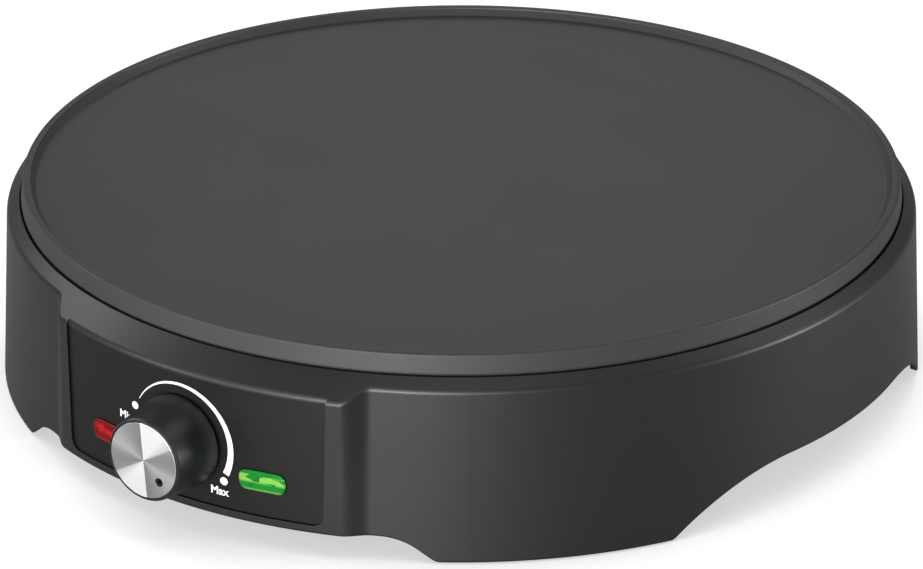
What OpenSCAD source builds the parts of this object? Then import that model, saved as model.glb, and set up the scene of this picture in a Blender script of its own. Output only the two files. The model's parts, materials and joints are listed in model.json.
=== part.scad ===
// Electric crepe maker: round cast hotplate on a moulded housing with four legs,
// and a control panel with a thermostat knob and two pilot lamps on its front.
// Origin: on the table under the hotplate's centre. +Z up, the panel faces -Y.

/* [Hotplate] */
// Diameter of the hotplate across the foot of its rim
plate_d = 300; // [280:1:360]
// Height of the foot of the rim above the table
plate_z = 63.8; // [62:0.1:75]
// Height of the rim's outer face
rim_h = 6.8; // [6:0.1:9]
// Inward lean of the rim's outer face over its height
rim_lean = 0.7; // [0.2:0.1:1.5]
// Radius on the rim's top outer edge
rim_fillet = 0.8; // [0.3:0.1:1.2]
// Width of the flat land on top of the rim
rim_land = 2.7; // [2:0.1:4]
// Depth of the small step inside the land
rim_step = 0.6; // [0.3:0.1:1]
// Width of the slope from the step down to the cooking face
rim_slope = 1.8; // [1:0.1:4]
// Depth of the cooking face below the top of the rim
face_drop = 2.7; // [1.5:0.1:3.5]
// Thickness of the plate under the cooking face
plate_t = 5.3; // [4.5:0.1:6]
// Depth of the locating skirt below the foot of the rim
skirt_drop = 3.5; // [2.5:0.1:4.5]
// Thickness of the locating skirt
skirt_t = 3; // [2:0.1:5]
// Inset of the locating skirt from the foot of the rim
skirt_inset = 0.8; // [0.5:0.1:1.5]

/* [Heating element] */
// Radius of the element's ring
element_r = 95; // [70:1:100]
// Diameter of the element's steel tube
element_tube_d = 6.5; // [6:0.1:8]
// Angle left open between the two ends of the element
element_gap = 40; // [30:1:60]
// Radius of the bend that turns each end down
element_bend_r = 10; // [9:0.5:12]
// Depth of the ribs that locate the element
rib_h = 5; // [4:0.1:5.5]
// Thickness of each rib beside the element
rib_t = 3; // [2:0.1:4]
// Number of straps that hold the element
strap_count = 5; // [3:1:8]
// Width of a strap
strap_w = 14; // [10:1:18]
// Thickness of the strap's sheet
strap_t = 1.2; // [0.8:0.1:2]

/* [Housing] */
// Gap between the rim's foot and the housing's lip
lip_gap = 1; // [0.6:0.1:2]
// Depth of the lip below the foot of the rim
lip_drop = 0.6; // [0.3:0.1:1.5]
// How far the wall stands out from the lip
wall_out = 3.9; // [3:0.1:6]
// Slope of the top band between the lip and the wall
top_slope = 38.5; // [30:0.5:45]
// Draft of the housing's wall
draft = 2.5; // [1:0.1:4]
// Thickness of the housing's wall
wall_t = 2.6; // [2:0.1:3]
// Radius on the wall's top edge
edge_fillet = 1.5; // [0.5:0.1:2]
// Height of the shelf's top that carries the hotplate
shelf_z = 54.5; // [53:0.1:56]
// Thickness of the shelf
shelf_t = 2.5; // [2:0.1:3.5]
// Width of the shelf
shelf_w = 24; // [22:0.5:28]

/* [Legs] */
// Half angle between the front pair of legs, from the front
leg_in = 31.6; // [30:0.1:34]
// Angle from the front to the far side of a front leg
leg_out = 60.6; // [57:0.1:63]
// Height of the arch at the front and back
front_arch_h = 8.6; // [7:0.1:12]
// Radius at the ends of the front arch
front_arch_r = 17; // [12:0.5:20]
// Height of the arch at each side
side_arch_h = 18.2; // [14:0.1:19]
// Radius at the ends of the side arch
side_arch_r = 67; // [60:1:80]
// Radius on the corners of each leg's foot
foot_corner_r = 3; // [1.5:0.5:4]
// Height of the leg's edge above the table
foot_clear = 0.4; // [0.2:0.1:1]
// Thickness of the floor inside each leg
leg_floor_t = 2.5; // [2:0.1:3.5]
// Radius of a rubber foot
pad_r = 6.5; // [5:0.1:8]
// Height of a rubber foot below the leg's floor
pad_h = 2.2; // [1.5:0.1:3]

/* [Control panel] */
// How far the panel block stands out from the lip
panel_out = 9; // [7.5:0.1:12]
// Half angle of the panel block's face
panel_half = 20.4; // [20:0.1:22]
// Angle taken by the curved flank beside the face
flank = 3.8; // [3:0.1:5]
// Height of the block's lower edge above the table
panel_foot = 8.5; // [7:0.1:12]
// Thickness of the fascia
fascia_t = 2; // [1.5:0.1:3]
// How far the fascia lies below the block's face
fascia_sink = 0.7; // [0.3:0.1:1.2]
// Width of the fascia, straight across
fascia_w = 104; // [98:0.5:106]
// Margin between the block's and the fascia's lower edges
fascia_margin = 3.2; // [2.5:0.1:6]
// Radius on the fascia's lower corners
fascia_corner_r = 3.5; // [2:0.1:6]
// Gap around the fascia in its recess
fascia_gap = 0.2; // [0.1:0.05:0.4]
// Length of a pilot lens
lens_w = 16.6; // [12:0.1:18]
// Height of a pilot lens
lens_h = 7.2; // [6:0.1:9]
// Radius on a pilot lens's corners
lens_corner_r = 2.8; // [1.5:0.1:2.9]
// Angle from the panel's middle to a pilot lens
lens_angle = 11.1; // [10.5:0.1:12]
// Height of the pilot lenses above the table
lens_z = 24; // [23:0.5:27]
// How far a pilot lens stands out of the fascia
lens_proud = 0.8; // [0.3:0.1:1.5]

/* [Knob and thermostat] */
// Height of the knob's axis above the table
knob_z = 32; // [31:0.5:34]
// Radius of the knob at its foot
knob_foot_r = 15.9; // [14:0.1:18]
// Radius of the knob at its front
knob_front_r = 14.3; // [13:0.1:15]
// Length of the knob from the fascia to its front
knob_l = 19.4; // [17:0.1:24]
// Gap behind the knob
knob_gap = 0.6; // [0.4:0.1:1]
// Radius of the metal cap on the knob
cap_r = 13.1; // [11:0.1:14]
// Thickness of the metal cap
cap_t = 0.8; // [0.5:0.1:1.2]
// Gap around the metal cap
cap_gap = 0.35; // [0.2:0.05:0.5]
// Clock angle of the knob's pointer at rest
pointer_angle = 135; // [100:1:150]
// Distance of the pointer's dimple from the axis
pointer_r = 8.65; // [6:0.1:10]
// Radius of the pointer's dimple
dimple_r = 1.25; // [0.8:0.05:1.6]
// Depth of the pointer's dimple
dimple_depth = 0.4; // [0.2:0.05:0.45]
// Diameter of the thermostat's spindle
spindle_d = 6; // [5:0.1:6.5]
// Length of spindle inside the knob
spindle_grip = 14; // [10:0.5:15]
// Depth of the flat on the spindle
spindle_flat = 1.5; // [1:0.1:2]
// Radial clearance of the spindle in its bush
bush_clear = 0.05; // [0.02:0.01:0.1]
// Outside diameter of the bush
bush_d = 9.8; // [9.4:0.1:10.4]
// Distance from the panel block's face back to the thermostat's plate
bracket_back = 18.8; // [18:0.1:21]
// Thickness of the thermostat's plate
bracket_t = 1.2; // [1:0.1:2]

/* [Base and inlet] */
// Height of the base cover's underside above the table
cover_z = 19.4; // [19.2:0.1:20.5]
// Thickness of the base cover
cover_t = 2; // [1.5:0.1:3]
// Gap between the base cover and the housing's wall
cover_gap = 0.5; // [0.3:0.1:1]
// Height of the cord inlet above the table
inlet_z = 33; // [31:0.5:38]
// Radius of the cord's hole in the gland
inlet_r = 3.6; // [3:0.1:4.5]
// Radius of the gland's neck
gland_neck_r = 6.4; // [6:0.1:8]
// Radius of the gland's outer flange
gland_flange_r = 9; // [8.5:0.1:10.5]

/* [Hidden] */
$fn = 96;

fine = 192;            // facets of the large round forms
fit = 0.05;            // gap of a screw or pin in its own hole
seat = 0.1;            // gap where one piece only rests near another
over = 1;              // how far a cutter runs past what it cuts
front = -90;           // direction of the control panel

// Hotplate
plate_r = plate_d / 2;
rim_z = plate_z + rim_h;
face_z = rim_z - face_drop;
under_z = face_z - plate_t;
skirt_z = plate_z - skirt_drop;
skirt_r = plate_r - skirt_inset;
rim_top_r = plate_r - rim_lean;
land_r = rim_top_r - rim_land;
face_r = land_r - rim_slope;

// Housing
lip_r = plate_r + lip_gap;
lip_z = plate_z - lip_drop;
wall_top_r = lip_r + wall_out;
wall_top_z = lip_z - wall_out * tan(top_slope);
panel_r = lip_r + panel_out;
panel_top_z = lip_z - panel_out * tan(top_slope);
function wall_r(z) = wall_top_r + (wall_top_z - z) * tan(draft);
function inner_r(z) = wall_r(z) - wall_t;
lip_depth = 3;
roof_drop = 1.2;
shelf_in_r = inner_r(shelf_z) - shelf_w;
cover_top = cover_z + cover_t;
shelf_under = shelf_z - shelf_t;

// Fixings: three through the shelf into the plate, six up into the housing
plate_fix_r = shelf_in_r + 6;
plate_fix_angles = [90, 210, 330];
plate_boss_r = 6.5;
plate_boss_z = under_z - 4.6;
plate_screw_r = 2;
plate_hole_depth = 3.6;
cover_fix_r = shelf_in_r + 11;
cover_fix_angles = [0, 60, 120, 180, 240, 300];
pillar_r = 4.5;
cover_screw_r = 1.6;

// Heating element
tube_r = element_tube_d / 2;
element_z = under_z - tube_r - 0.45;
rib_z = under_z - rib_h;
root = 0.5;            // how far ribs and bosses reach into the plate above them
element_start = 90 + element_gap / 2;
element_sweep = 360 - element_gap;
strap_z = element_z - tube_r - seat;
strap_post_off = tube_r + rib_t + 6;
strap_angles = [for (i = [0:strap_count - 1])
    element_start + element_sweep * (i + 0.5) / strap_count + 12];
strap_screw_r = 1.5;

// Heat shield: a dish whose flange lies on the shelf
shield_t = 0.6;
shield_flange_out = skirt_r - skirt_t - 1;
shield_drop = 8.5;
shield_wall_r = shelf_in_r - 1.2;
shield_window = 40;
shield_slot = 24;

// Thermostat and knob, on the panel's axis
spindle_r = spindle_d / 2;
fascia_r = panel_r - fascia_sink;
recess_r = fascia_r - fascia_t;
block_inner_r = recess_r - wall_t;
block_back_r = block_inner_r - 0.15;
knob_back = fascia_r + knob_gap;
knob_front = fascia_r + knob_l;
bracket_y = panel_r - bracket_back;
bush_r = bush_d / 2;
bush_bore = spindle_r + bush_clear;
bush_front = bracket_y + bracket_t + 9.8;
bush_back = bracket_y - 1.6;
nut_t = 3;
spindle_back = bracket_y + 4;
spindle_front = knob_back + spindle_grip;
pin_room = 0.9;        // space before the adjusting pin's tip
blade_t = 0.5;
blade_y = bracket_y - 8.4;
tab_z = under_z - 5.6;
tab_back = bracket_y - 22;
bracket_screw_y = bracket_y - 15;
bracket_half = 13;
bracket_foot = cover_top + 1.2;
notch_half = 21;

// Inlet and terminals
gland_face = wall_r(inlet_z) + 0.8;
gland_hole_r = gland_neck_r + 0.1;
// what the holes leave round the bush, in the housing and in the fascia
bush_room = 2;
bush_gap = 0.7;
// cutters through the panel and the rear wall: their lengths and where they start
spindle_cut = 40;
lens_cut = 20;
lens_cut_in = 3;
inlet_cut = 20;
inlet_cut_in = 6;
clamp_y = inner_r(cover_top) - 24;
block_y = 92;

// Helpers -----------------------------------------------------------------

function unit(v) = v / norm(v);

// Points of an arc that rounds corner b of the path a-b-c with radius r
function corner(a, b, c, r, n = 5) =
    let (u = unit(a - b), w = unit(c - b), half = acos(u * w) / 2,
         o = b + unit(u + w) * (r / sin(half)),
         s = b + u * (r / tan(half)) - o, e = b + w * (r / tan(half)) - o,
         a0 = atan2(s[1], s[0]), turn = (atan2(e[1], e[0]) - a0 + 540) % 360 - 180)
    [for (i = [0:n]) o + r * [cos(a0 + turn * i / n), sin(a0 + turn * i / n)]];

// A closed outline whose corner i has radius radii[i]
function rounded(points, radii) = let (n = len(points))
    [for (i = [0:n - 1])
        each (radii[i] > 0
            ? corner(points[(i + n - 1) % n], points[i], points[(i + 1) % n], radii[i])
            : [points[i]])];

// Local frame on the panel: X to the right, Y up, Z out of the panel
module on_panel(angle, z, r = panel_r) {
    rotate([0, 0, angle]) translate([0, -r, z]) rotate([90, 0, 0]) children();
}

// The knob's axis as the local Z, measured outwards from the hotplate's axis
module on_knob_axis() {
    translate([0, 0, knob_z]) rotate([90, 0, 0]) children();
}

module ring_of(angles, r) {
    for (a = angles) rotate([0, 0, a]) translate([r, 0, 0]) children();
}

module tube(outer, inner, h) {
    difference() {
        cylinder(r = outer, h = h);
        translate([0, 0, -over]) cylinder(r = inner, h = h + 2 * over);
    }
}

// A sector of a ring, from angle a0 over sweep
module sector(outer, inner, a0, sweep, h) {
    rotate([0, 0, a0]) rotate_extrude(angle = sweep, $fn = fine)
        translate([inner, 0]) square([outer - inner, h]);
}

// A flat bar with round ends, centred, along X
module slot_bar(length, r, h) {
    translate([-length / 2 + r, -r, 0]) cube([length - 2 * r, 2 * r, h]);
    for (s = [-1, 1]) translate([s * (length / 2 - r), 0, 0]) cylinder(r = r, h = h, $fn = 32);
}

// A block with rounded corners, centred on X and Y
module lens_block(w, h, r, d) {
    linear_extrude(d) polygon(rounded(
        [[-w / 2, -h / 2], [w / 2, -h / 2], [w / 2, h / 2], [-w / 2, h / 2]], [r, r, r, r]));
}

// A lead along points: straight stretches, with a ball round every corner whose
// poles stand square to both stretches
module wire(points, r = wire_r) {
    last = len(points) - 1;
    dirs = [for (i = [0:last - 1]) unit(points[i + 1] - points[i])];
    for (i = [0:last - 1])
        let (d = dirs[i], a = points[i] + d * (i > 0 ? r / 4 : 0),
             run = norm(points[i + 1] - a) - (i < last - 1 ? r / 4 : 0))
        translate(a) rotate([0, acos(d[2]), atan2(d[1], d[0])]) cylinder(r = r, h = run, $fn = 24);
    for (i = [1:last - 1])
        let (x = unit(dirs[i - 1] - dirs[i]), z = unit(cross(dirs[i - 1], dirs[i])), y = cross(z, x))
        translate(points[i])
            multmatrix([[x[0], y[0], z[0], 0], [x[1], y[1], z[1], 0], [x[2], y[2], z[2], 0], [0, 0, 0, 1]])
                sphere(r = knuckle * r, $fn = 24);
}

// A pan head screw along Z: its head's underside is at the origin, the shank goes up
module pan_screw(r, length, head_r, head_h) {
    difference() {
        union() {
            translate([0, 0, -head_h]) cylinder(r = head_r, h = head_h, $fn = 32);
            cylinder(r = r, h = length, $fn = 32);
        }
        for (a = [0, 90]) rotate([0, 0, a])
            translate([-head_r * 0.6, -0.4, -head_h - over])
                cube([head_r * 1.2, 0.8, head_h * 0.6 + over]);
    }
}

// Hotplate ----------------------------------------------------------------

function plate_section() = rounded([
    [0, under_z], [skirt_r - skirt_t, under_z], [skirt_r - skirt_t, skirt_z],
    [skirt_r, skirt_z], [skirt_r, plate_z], [plate_r, plate_z], [rim_top_r, rim_z],
    [land_r, rim_z], [land_r - 0.15, rim_z - rim_step], [face_r, face_z], [0, face_z]],
    [0, 1.2, 0, 0, 0, 0.25, rim_fillet, 0.2, 0.15, 0, 0]);

module element_ribs() {
    rotate([0, 0, element_start + 6]) rotate_extrude(angle = element_sweep - 12, $fn = fine)
        difference() {
            translate([element_r - tube_r - rib_t, rib_z])
                square([2 * (tube_r + rib_t), under_z + root - rib_z]);
            translate([element_r, element_z]) circle(r = tube_r + fit, $fn = 48);
            translate([element_r - tube_r - fit, rib_z - over])
                square([2 * (tube_r + fit), element_z - rib_z + over]);
        }
}

module blind_boss(r, z, hole_r, depth) {
    difference() {
        translate([0, 0, z]) cylinder(r = r, h = under_z + root - z, $fn = 48);
        translate([0, 0, z - over]) cylinder(r = hole_r, h = depth + over, $fn = 32);
    }
}

fuse_x = 44;
fuse_y = 44;
fuse_r = 2.2;
fuse_half = 9;
fuse_wire_l = 6;
fuse_z = under_z - fuse_r - seat;
fuse_boss_off = 13;
module hotplate() color([0.24, 0.24, 0.245]) {
    rotate_extrude($fn = fine) polygon(plate_section());
    element_ribs();
    ring_of(plate_fix_angles, plate_fix_r)
        blind_boss(plate_boss_r, plate_boss_z, plate_screw_r + fit, plate_hole_depth);
    ring_of(strap_angles, element_r) for (s = [-1, 1]) translate([s * strap_post_off, 0, 0])
        blind_boss(3.6, strap_z, strap_screw_r + fit, 4.6);
    translate([0, -bracket_screw_y, 0]) blind_boss(6, tab_z + bracket_t, plate_screw_r + fit, 3.4);
    translate([fuse_x + fuse_boss_off, fuse_y, 0]) blind_boss(4, under_z - 4.4, strap_screw_r + fit, 3.4);
}

// Heating element ---------------------------------------------------------

// Places its children at the end of the element's ring, s = 1 at the start, -1 at the end
module element_end(s) {
    a = s > 0 ? element_start : element_start + element_sweep;
    rotate([0, 0, a]) translate([element_r, 0, element_z]) children();
}

module heating_element() color([0.42, 0.41, 0.38]) {
    translate([0, 0, element_z]) rotate([0, 0, element_start])
        rotate_extrude(angle = element_sweep, $fn = fine)
            translate([element_r, 0]) circle(r = tube_r, $fn = 48);
    for (s = [1, -1]) element_end(s) {
        // cold end: a sleeve over the joint, then a quarter bend down
        rotate([90, 0, 0]) translate([0, 0, -2.5]) cylinder(r = tube_r + 0.25, h = 5, $fn = 48);
        translate([0, 0, -element_bend_r]) rotate([0, 90, 0]) rotate([0, 0, s > 0 ? 182 : 90])
            rotate_extrude(angle = 88, $fn = 96)
                translate([element_bend_r, 0]) circle(r = tube_r, $fn = 48);
    }
}

tab_t = 0.8;
module element_terminals() color([0.86, 0.85, 0.8]) {
    for (s = [1, -1]) element_end(s)
        translate([0, -s * element_bend_r, -element_bend_r]) {
            translate([0, 0, -3]) cylinder(r = tube_r + 0.6, h = 3, $fn = 32);
            translate([0, 0, -7]) cylinder(r = 1.3, h = 4.2, $fn = 24);
            translate([-3.2, -tab_t / 2, -14]) cube([6.4, tab_t, 7.4]);
        }
}

module element_straps() color([0.6, 0.6, 0.6]) {
    ring_of(strap_angles, element_r) difference() {
        translate([-strap_post_off - 4, -strap_w / 2, strap_z - strap_t])
            cube([2 * (strap_post_off + 4), strap_w, strap_t]);
        for (s = [-1, 1]) translate([s * strap_post_off, 0, strap_z - strap_t - over])
            cylinder(r = strap_screw_r + fit, h = strap_t + 2 * over, $fn = 32);
    }
}

module strap_screws() color([0.7, 0.7, 0.7]) {
    ring_of(strap_angles, element_r) for (s = [-1, 1])
        translate([s * strap_post_off, 0, strap_z - strap_t])
            pan_screw(strap_screw_r, strap_t + 4, 2.8, 1.8);
    translate([fuse_x + fuse_boss_off, fuse_y, under_z - 4.4 - 1])
        pan_screw(strap_screw_r, 4, 2.8, 1.8);
}

module plate_spacers() color([0.88, 0.86, 0.8]) {
    ring_of(plate_fix_angles, plate_fix_r) translate([0, 0, shelf_z + shield_t])
        tube(plate_boss_r - 1, plate_screw_r + 0.3, plate_boss_z - shelf_z - shield_t, $fn = 48);
}

module plate_screws() color([0.7, 0.7, 0.7]) {
    ring_of(plate_fix_angles, plate_fix_r) translate([0, 0, shelf_under])
        pan_screw(plate_screw_r, plate_boss_z - shelf_under + plate_hole_depth - 0.4, 3.8, 2.4);
}

function shield_section() = [
    [shield_flange_out, shelf_z], [shield_flange_out, shelf_z + shield_t],
    [shield_wall_r - shield_t, shelf_z + shield_t],
    [shield_wall_r - shield_t - 3, shelf_z - shield_drop + shield_t],
    [0, shelf_z - shield_drop + shield_t], [0, shelf_z - shield_drop],
    [shield_wall_r - 3, shelf_z - shield_drop], [shield_wall_r, shelf_z]];

module heat_shield() color([0.72, 0.73, 0.74]) difference() {
    rotate_extrude($fn = fine) polygon(shield_section());
    ring_of(plate_fix_angles, plate_fix_r) translate([0, 0, shelf_z - over])
        cylinder(r = plate_screw_r + 0.3, h = shield_t + 2 * over, $fn = 32);
    // window for the thermostat at the front
    translate([-shield_window / 2, -plate_r, 0])
        cube([shield_window, plate_r - 108, rim_z]);
    // window for the element's terminals at the back
    translate([-shield_window, element_r * 0.8, 0])
        cube([2 * shield_window, shield_slot, shelf_z - over]);
    for (x = [-60:20:60]) translate([x, -20, shelf_z - shield_drop - over])
        cylinder(r = 2.5, h = shield_t + 2 * over, $fn = 32);
}

module thermal_fuse() color([0.85, 0.82, 0.7]) translate([fuse_x, fuse_y, fuse_z])
    rotate([90, 0, 0]) {
        translate([0, 0, -fuse_half]) cylinder(r = fuse_r, h = 2 * fuse_half, $fn = 32);
        translate([0, 0, -fuse_half - fuse_wire_l])
            cylinder(r = 0.6, h = 2 * (fuse_half + fuse_wire_l), $fn = 24);
    }

module fuse_clip() color([0.6, 0.6, 0.6]) {
    z = under_z - 4.4 - 1;
    difference() {
        translate([fuse_x - 4, fuse_y - 4, z]) cube([fuse_boss_off + 9, 8, 1 - seat]);
        translate([fuse_x + fuse_boss_off, fuse_y, z - over])
            cylinder(r = strap_screw_r + fit, h = 3, $fn = 32);
    }
}

// Housing -----------------------------------------------------------------

// The wall, lip and sloping top band as one section
function shell_section() = rounded([
    [wall_r(foot_clear), foot_clear], [wall_top_r, wall_top_z], [lip_r, lip_z],
    [lip_r, lip_z - lip_depth], [inner_r(wall_top_z), lip_z - lip_depth - roof_drop],
    [inner_r(foot_clear), foot_clear]],
    [0.4, edge_fillet, 0.4, 0, 0, 0]);

// Plan outline of the panel block: its face, and the S-shaped flank at each side
flank_steps = 10;
function flank_r(t) = wall_top_r - 0.6
    + (panel_r - wall_top_r + 0.6) * (1 - cos(180 * t)) / 2;
function polar(r, a) = [r * cos(a), r * sin(a)];
function block_outline() = concat(
    [polar(lip_r - wall_t, front - panel_half - flank)],
    [for (i = [0:flank_steps]) polar(flank_r(i / flank_steps),
        front - panel_half - flank + flank * i / flank_steps)],
    [for (a = [front - panel_half + 1:1:front + panel_half - 1]) polar(panel_r, a)],
    [for (i = [flank_steps:-1:0]) polar(flank_r(i / flank_steps),
        front + panel_half + flank - flank * i / flank_steps)],
    [polar(lip_r - wall_t, front + panel_half + flank)]);

// Section of the block's band with the rounded top edge, cut back by the outline
module block_solid() intersection() {
    rotate_extrude($fn = fine) polygon(rounded([
        [block_back_r, panel_foot], [panel_r, panel_foot], [panel_r, panel_top_z],
        [block_back_r, lip_z - (block_back_r - lip_r) * tan(top_slope)]], [0, 0, edge_fillet, 0]));
    linear_extrude(rim_z) polygon(block_outline());
}

// Fascia outline, straight across the panel: slightly narrower at the foot
fascia_foot = panel_foot + fascia_margin;
fascia_top = panel_top_z - 1;
fascia_taper = 1.1;
module fascia_prism(gap) {
    half = fascia_w / 2 + gap;
    translate([0, 0, 0]) rotate([90, 0, 0]) linear_extrude(panel_r + 20) polygon(rounded(
        [[-half + fascia_taper, fascia_foot - gap], [half - fascia_taper, fascia_foot - gap],
         [half, fascia_top + gap], [-half, fascia_top + gap]],
        [fascia_corner_r + gap, fascia_corner_r + gap, 0, 0]));
}

module fascia_recess() {
    // the seat of the fascia
    intersection() {
        translate([0, 0, fascia_foot - over])
            tube(panel_r + 10, recess_r, panel_top_z, $fn = fine);
        fascia_prism(fascia_gap);
    }
    // above it the block's top edge lies back as far as the fascia's face
    intersection() {
        translate([0, 0, fascia_top - over])
            tube(panel_r + 10, fascia_r, panel_top_z, $fn = fine);
        translate([-fascia_w / 2 - fascia_gap, -panel_r - 10, fascia_top - over])
            cube([fascia_w + 2 * fascia_gap, panel_r, 20]);
    }
}

// Arch profiles: the lower edge of the skirt, as half outlines to the right of the middle
function arch_side(half, h, r) =
    let (top = h - foot_clear, flat = half - sqrt(max(0, 2 * r * top - top * top)))
    [for (i = [0:14]) let (x = flat + (half - flat) * i / 14)
        [x, h - r + sqrt(r * r - (x - flat) * (x - flat))]];
function mirrored(points) = [for (i = [len(points) - 1:-1:0]) [-points[i][0], points[i][1]]];
front_end = wall_r(0) * sin(leg_in);
side_end = wall_r(0) * cos(leg_out);
ramp = 40;
ramp_x = front_arch_r * sin(ramp);
ramp_z = front_arch_h - front_arch_r * (1 - cos(ramp));
front_flat = front_end - (ramp_z - foot_clear) / tan(ramp) - ramp_x;
front_half = concat(
    [for (a = [0:8:ramp]) [front_flat + front_arch_r * sin(a),
        front_arch_h - front_arch_r * (1 - cos(a))]],
    corner([front_flat + ramp_x, ramp_z], [front_end, foot_clear],
        [front_end + 10, foot_clear], foot_corner_r),
    [[front_end + 10, foot_clear - over], [front_end + 10, -over]]);
side_curve = arch_side(side_end, side_arch_h, side_arch_r);
side_half = concat([for (i = [0:13]) side_curve[i]],
    corner(side_curve[13], side_curve[14], [side_end + 10, foot_clear], foot_corner_r / 2),
    [[side_end + 10, foot_clear - over], [side_end + 10, -over]]);

module arch_cut(half_points, reach, from = 0) {
    rotate([90, 0, 0]) translate([0, 0, from]) linear_extrude(reach)
        polygon(concat(half_points, mirrored(half_points)));
}

// The cut of the arch whose middle is turned from the front by turn
module front_arch(turn) {
    rotate([0, 0, turn]) arch_cut(front_half, panel_r, lip_r * 0.6);
}
module side_arch(turn) {
    rotate([0, 0, turn]) arch_cut(side_half, panel_r, lip_r * 0.3);
}

leg_middle = (leg_in + leg_out) / 2;
leg_angles = [for (s = [-1, 1], f = [front, -front]) f + s * leg_middle];
pad_ring_r = inner_r(foot_clear) - pad_r - 3.5;
leg_floor_in = pad_ring_r - pad_r - 3;
leg_floor_half = 9;    // half angle of a leg's floor
leg_web_off = 8.2;
leg_web_t = 2;
module leg_floor() {
    translate([0, 0, pad_h])
        sector(inner_r(leg_floor_t) + 0.5, leg_floor_in, -leg_floor_half, 2 * leg_floor_half, leg_floor_t);
    // two webs tie the floor up to the wall
    for (s = [-1, 1]) rotate([0, 0, s * leg_web_off]) translate([leg_floor_in, -leg_web_t / 2, pad_h + 0.5])
        cube([wall_r(0) - 1.5 - leg_floor_in, leg_web_t, cover_z - pad_h - 0.8]);
}

module inlet_pad() {
    translate([0, inner_r(inlet_z) - 1, inlet_z]) rotate([-90, 0, 0])
        cylinder(r = gland_flange_r + 1.5, h = gland_face - inner_r(inlet_z) + 1, $fn = 64);
}

lens_frame = [lens_w + 0.2, lens_h + 0.2, lens_corner_r + 0.1];
post_off = lens_w / 2 + 5.4;
post_r = 1.5;
post_l = 5;
module lamp_posts() {
    for (a = [-lens_angle, lens_angle]) on_panel(a, lens_z, block_inner_r)
        for (s = [-1, 1]) translate([s * post_off, 0, -post_l])
            cylinder(r = post_r, h = post_l + 1, $fn = 24);
}

// The housing is one moulding, divided at the ends of its arches. This is its
// wall from angle a0 over sweep, with the ribs inside
module wall_part(a0, sweep) rotate([0, 0, a0]) {
    rotate_extrude(angle = sweep, $fn = fine) polygon(shell_section());
    rotate_extrude(angle = sweep, $fn = fine) rib_sections();
}

module housing_front() color([0.2, 0.2, 0.205]) difference() {
    union() {
        difference() {
            union() {
                wall_part(front - leg_in, 2 * leg_in);
                block_solid();
            }
            // hollow behind the panel block
            intersection() {
                cylinder(r = block_inner_r, h = panel_top_z - wall_t, $fn = fine);
                rotate([0, 0, front - panel_half + 1]) sector_wedge(2 * panel_half - 2);
            }
            fascia_recess();
        }
        lamp_posts();
    }
    front_arch(0);
    // holes for the spindle and the lenses
    on_knob_axis() translate([0, 0, bracket_y]) cylinder(r = bush_r + bush_room, h = spindle_cut, $fn = 64);
    for (a = [-lens_angle, lens_angle]) on_panel(a, lens_z, block_inner_r - lens_cut_in)
        lens_block(lens_frame[0], lens_frame[1], lens_frame[2], lens_cut);
}

module housing_rear() color([0.2, 0.2, 0.205]) difference() {
    union() {
        wall_part(-front - leg_in, 2 * leg_in);
        inlet_pad();
    }
    front_arch(180);
    // hole for the cord's gland
    translate([0, inner_r(inlet_z) - inlet_cut_in, inlet_z]) rotate([-90, 0, 0])
        cylinder(r = gland_hole_r, h = inlet_cut, $fn = 64);
}

// The housing between the legs of one side, s = -1 on the left and 1 on the right
module housing_side(s) difference() {
    wall_part((s > 0 ? 0 : 180) - 90 + leg_out, 180 - 2 * leg_out);
    side_arch(s * 90);
}
module housing_left() color([0.2, 0.2, 0.205]) housing_side(-1);
module housing_right() color([0.2, 0.2, 0.205]) housing_side(1);

// The wall of the leg whose middle is at angle a, with the floor for its foot
module housing_leg(a) difference() {
    union() {
        wall_part(a - (leg_out - leg_in) / 2, leg_out - leg_in);
        rotate([0, 0, a]) leg_floor();
    }
    for (turn = [0, 180]) front_arch(turn);
    for (turn = [-90, 90]) side_arch(turn);
    rotate([0, 0, a]) translate([pad_ring_r, 0, pad_h - over])
        cylinder(r = 2.6, h = leg_floor_t + 2 * over, $fn = 32);
}
module leg_front_left() color([0.2, 0.2, 0.205]) housing_leg(front - leg_middle);
module leg_front_right() color([0.2, 0.2, 0.205]) housing_leg(front + leg_middle);
module leg_rear_left() color([0.2, 0.2, 0.205]) housing_leg(-front + leg_middle);
module leg_rear_right() color([0.2, 0.2, 0.205]) housing_leg(-front - leg_middle);

// Ribs inside the wall: one carries the support ring, the other lies on the base cover
rib_in = 2.2;
rib_height = 1.5;
module rib_sections() {
    translate([inner_r(shelf_under) - rib_in, shelf_under - rib_height])
        square([rib_in + wall_t / 2, rib_height]);
    translate([inner_r(cover_top) - rib_in, cover_top + seat])
        square([rib_in + wall_t / 2, rib_height]);
}

// The ring that carries the hotplate, with pillars down to the base cover
cover_screw_l = 12;
module support_ring() color([0.22, 0.22, 0.22]) difference() {
    union() {
        translate([0, 0, shelf_under])
            tube(inner_r(shelf_z) - seat, shelf_in_r, shelf_t, $fn = fine);
        ring_of(cover_fix_angles, cover_fix_r) translate([0, 0, cover_top])
            cylinder(r = pillar_r, h = shelf_under - cover_top + shelf_t / 2, $fn = 48);
    }
    ring_of(cover_fix_angles, cover_fix_r) translate([0, 0, cover_top - over])
        cylinder(r = cover_screw_r + fit, h = cover_screw_l + 2 + over, $fn = 32);
    ring_of(plate_fix_angles, plate_fix_r) translate([0, 0, shelf_under - over])
        cylinder(r = plate_screw_r + 0.3, h = shelf_t + 2 * over, $fn = 32);
    // open at the front for the thermostat
    translate([-notch_half, -panel_r, shelf_under - over])
        cube([2 * notch_half, panel_r - shelf_in_r + shelf_w, shelf_t + 2 * over]);
}

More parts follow.
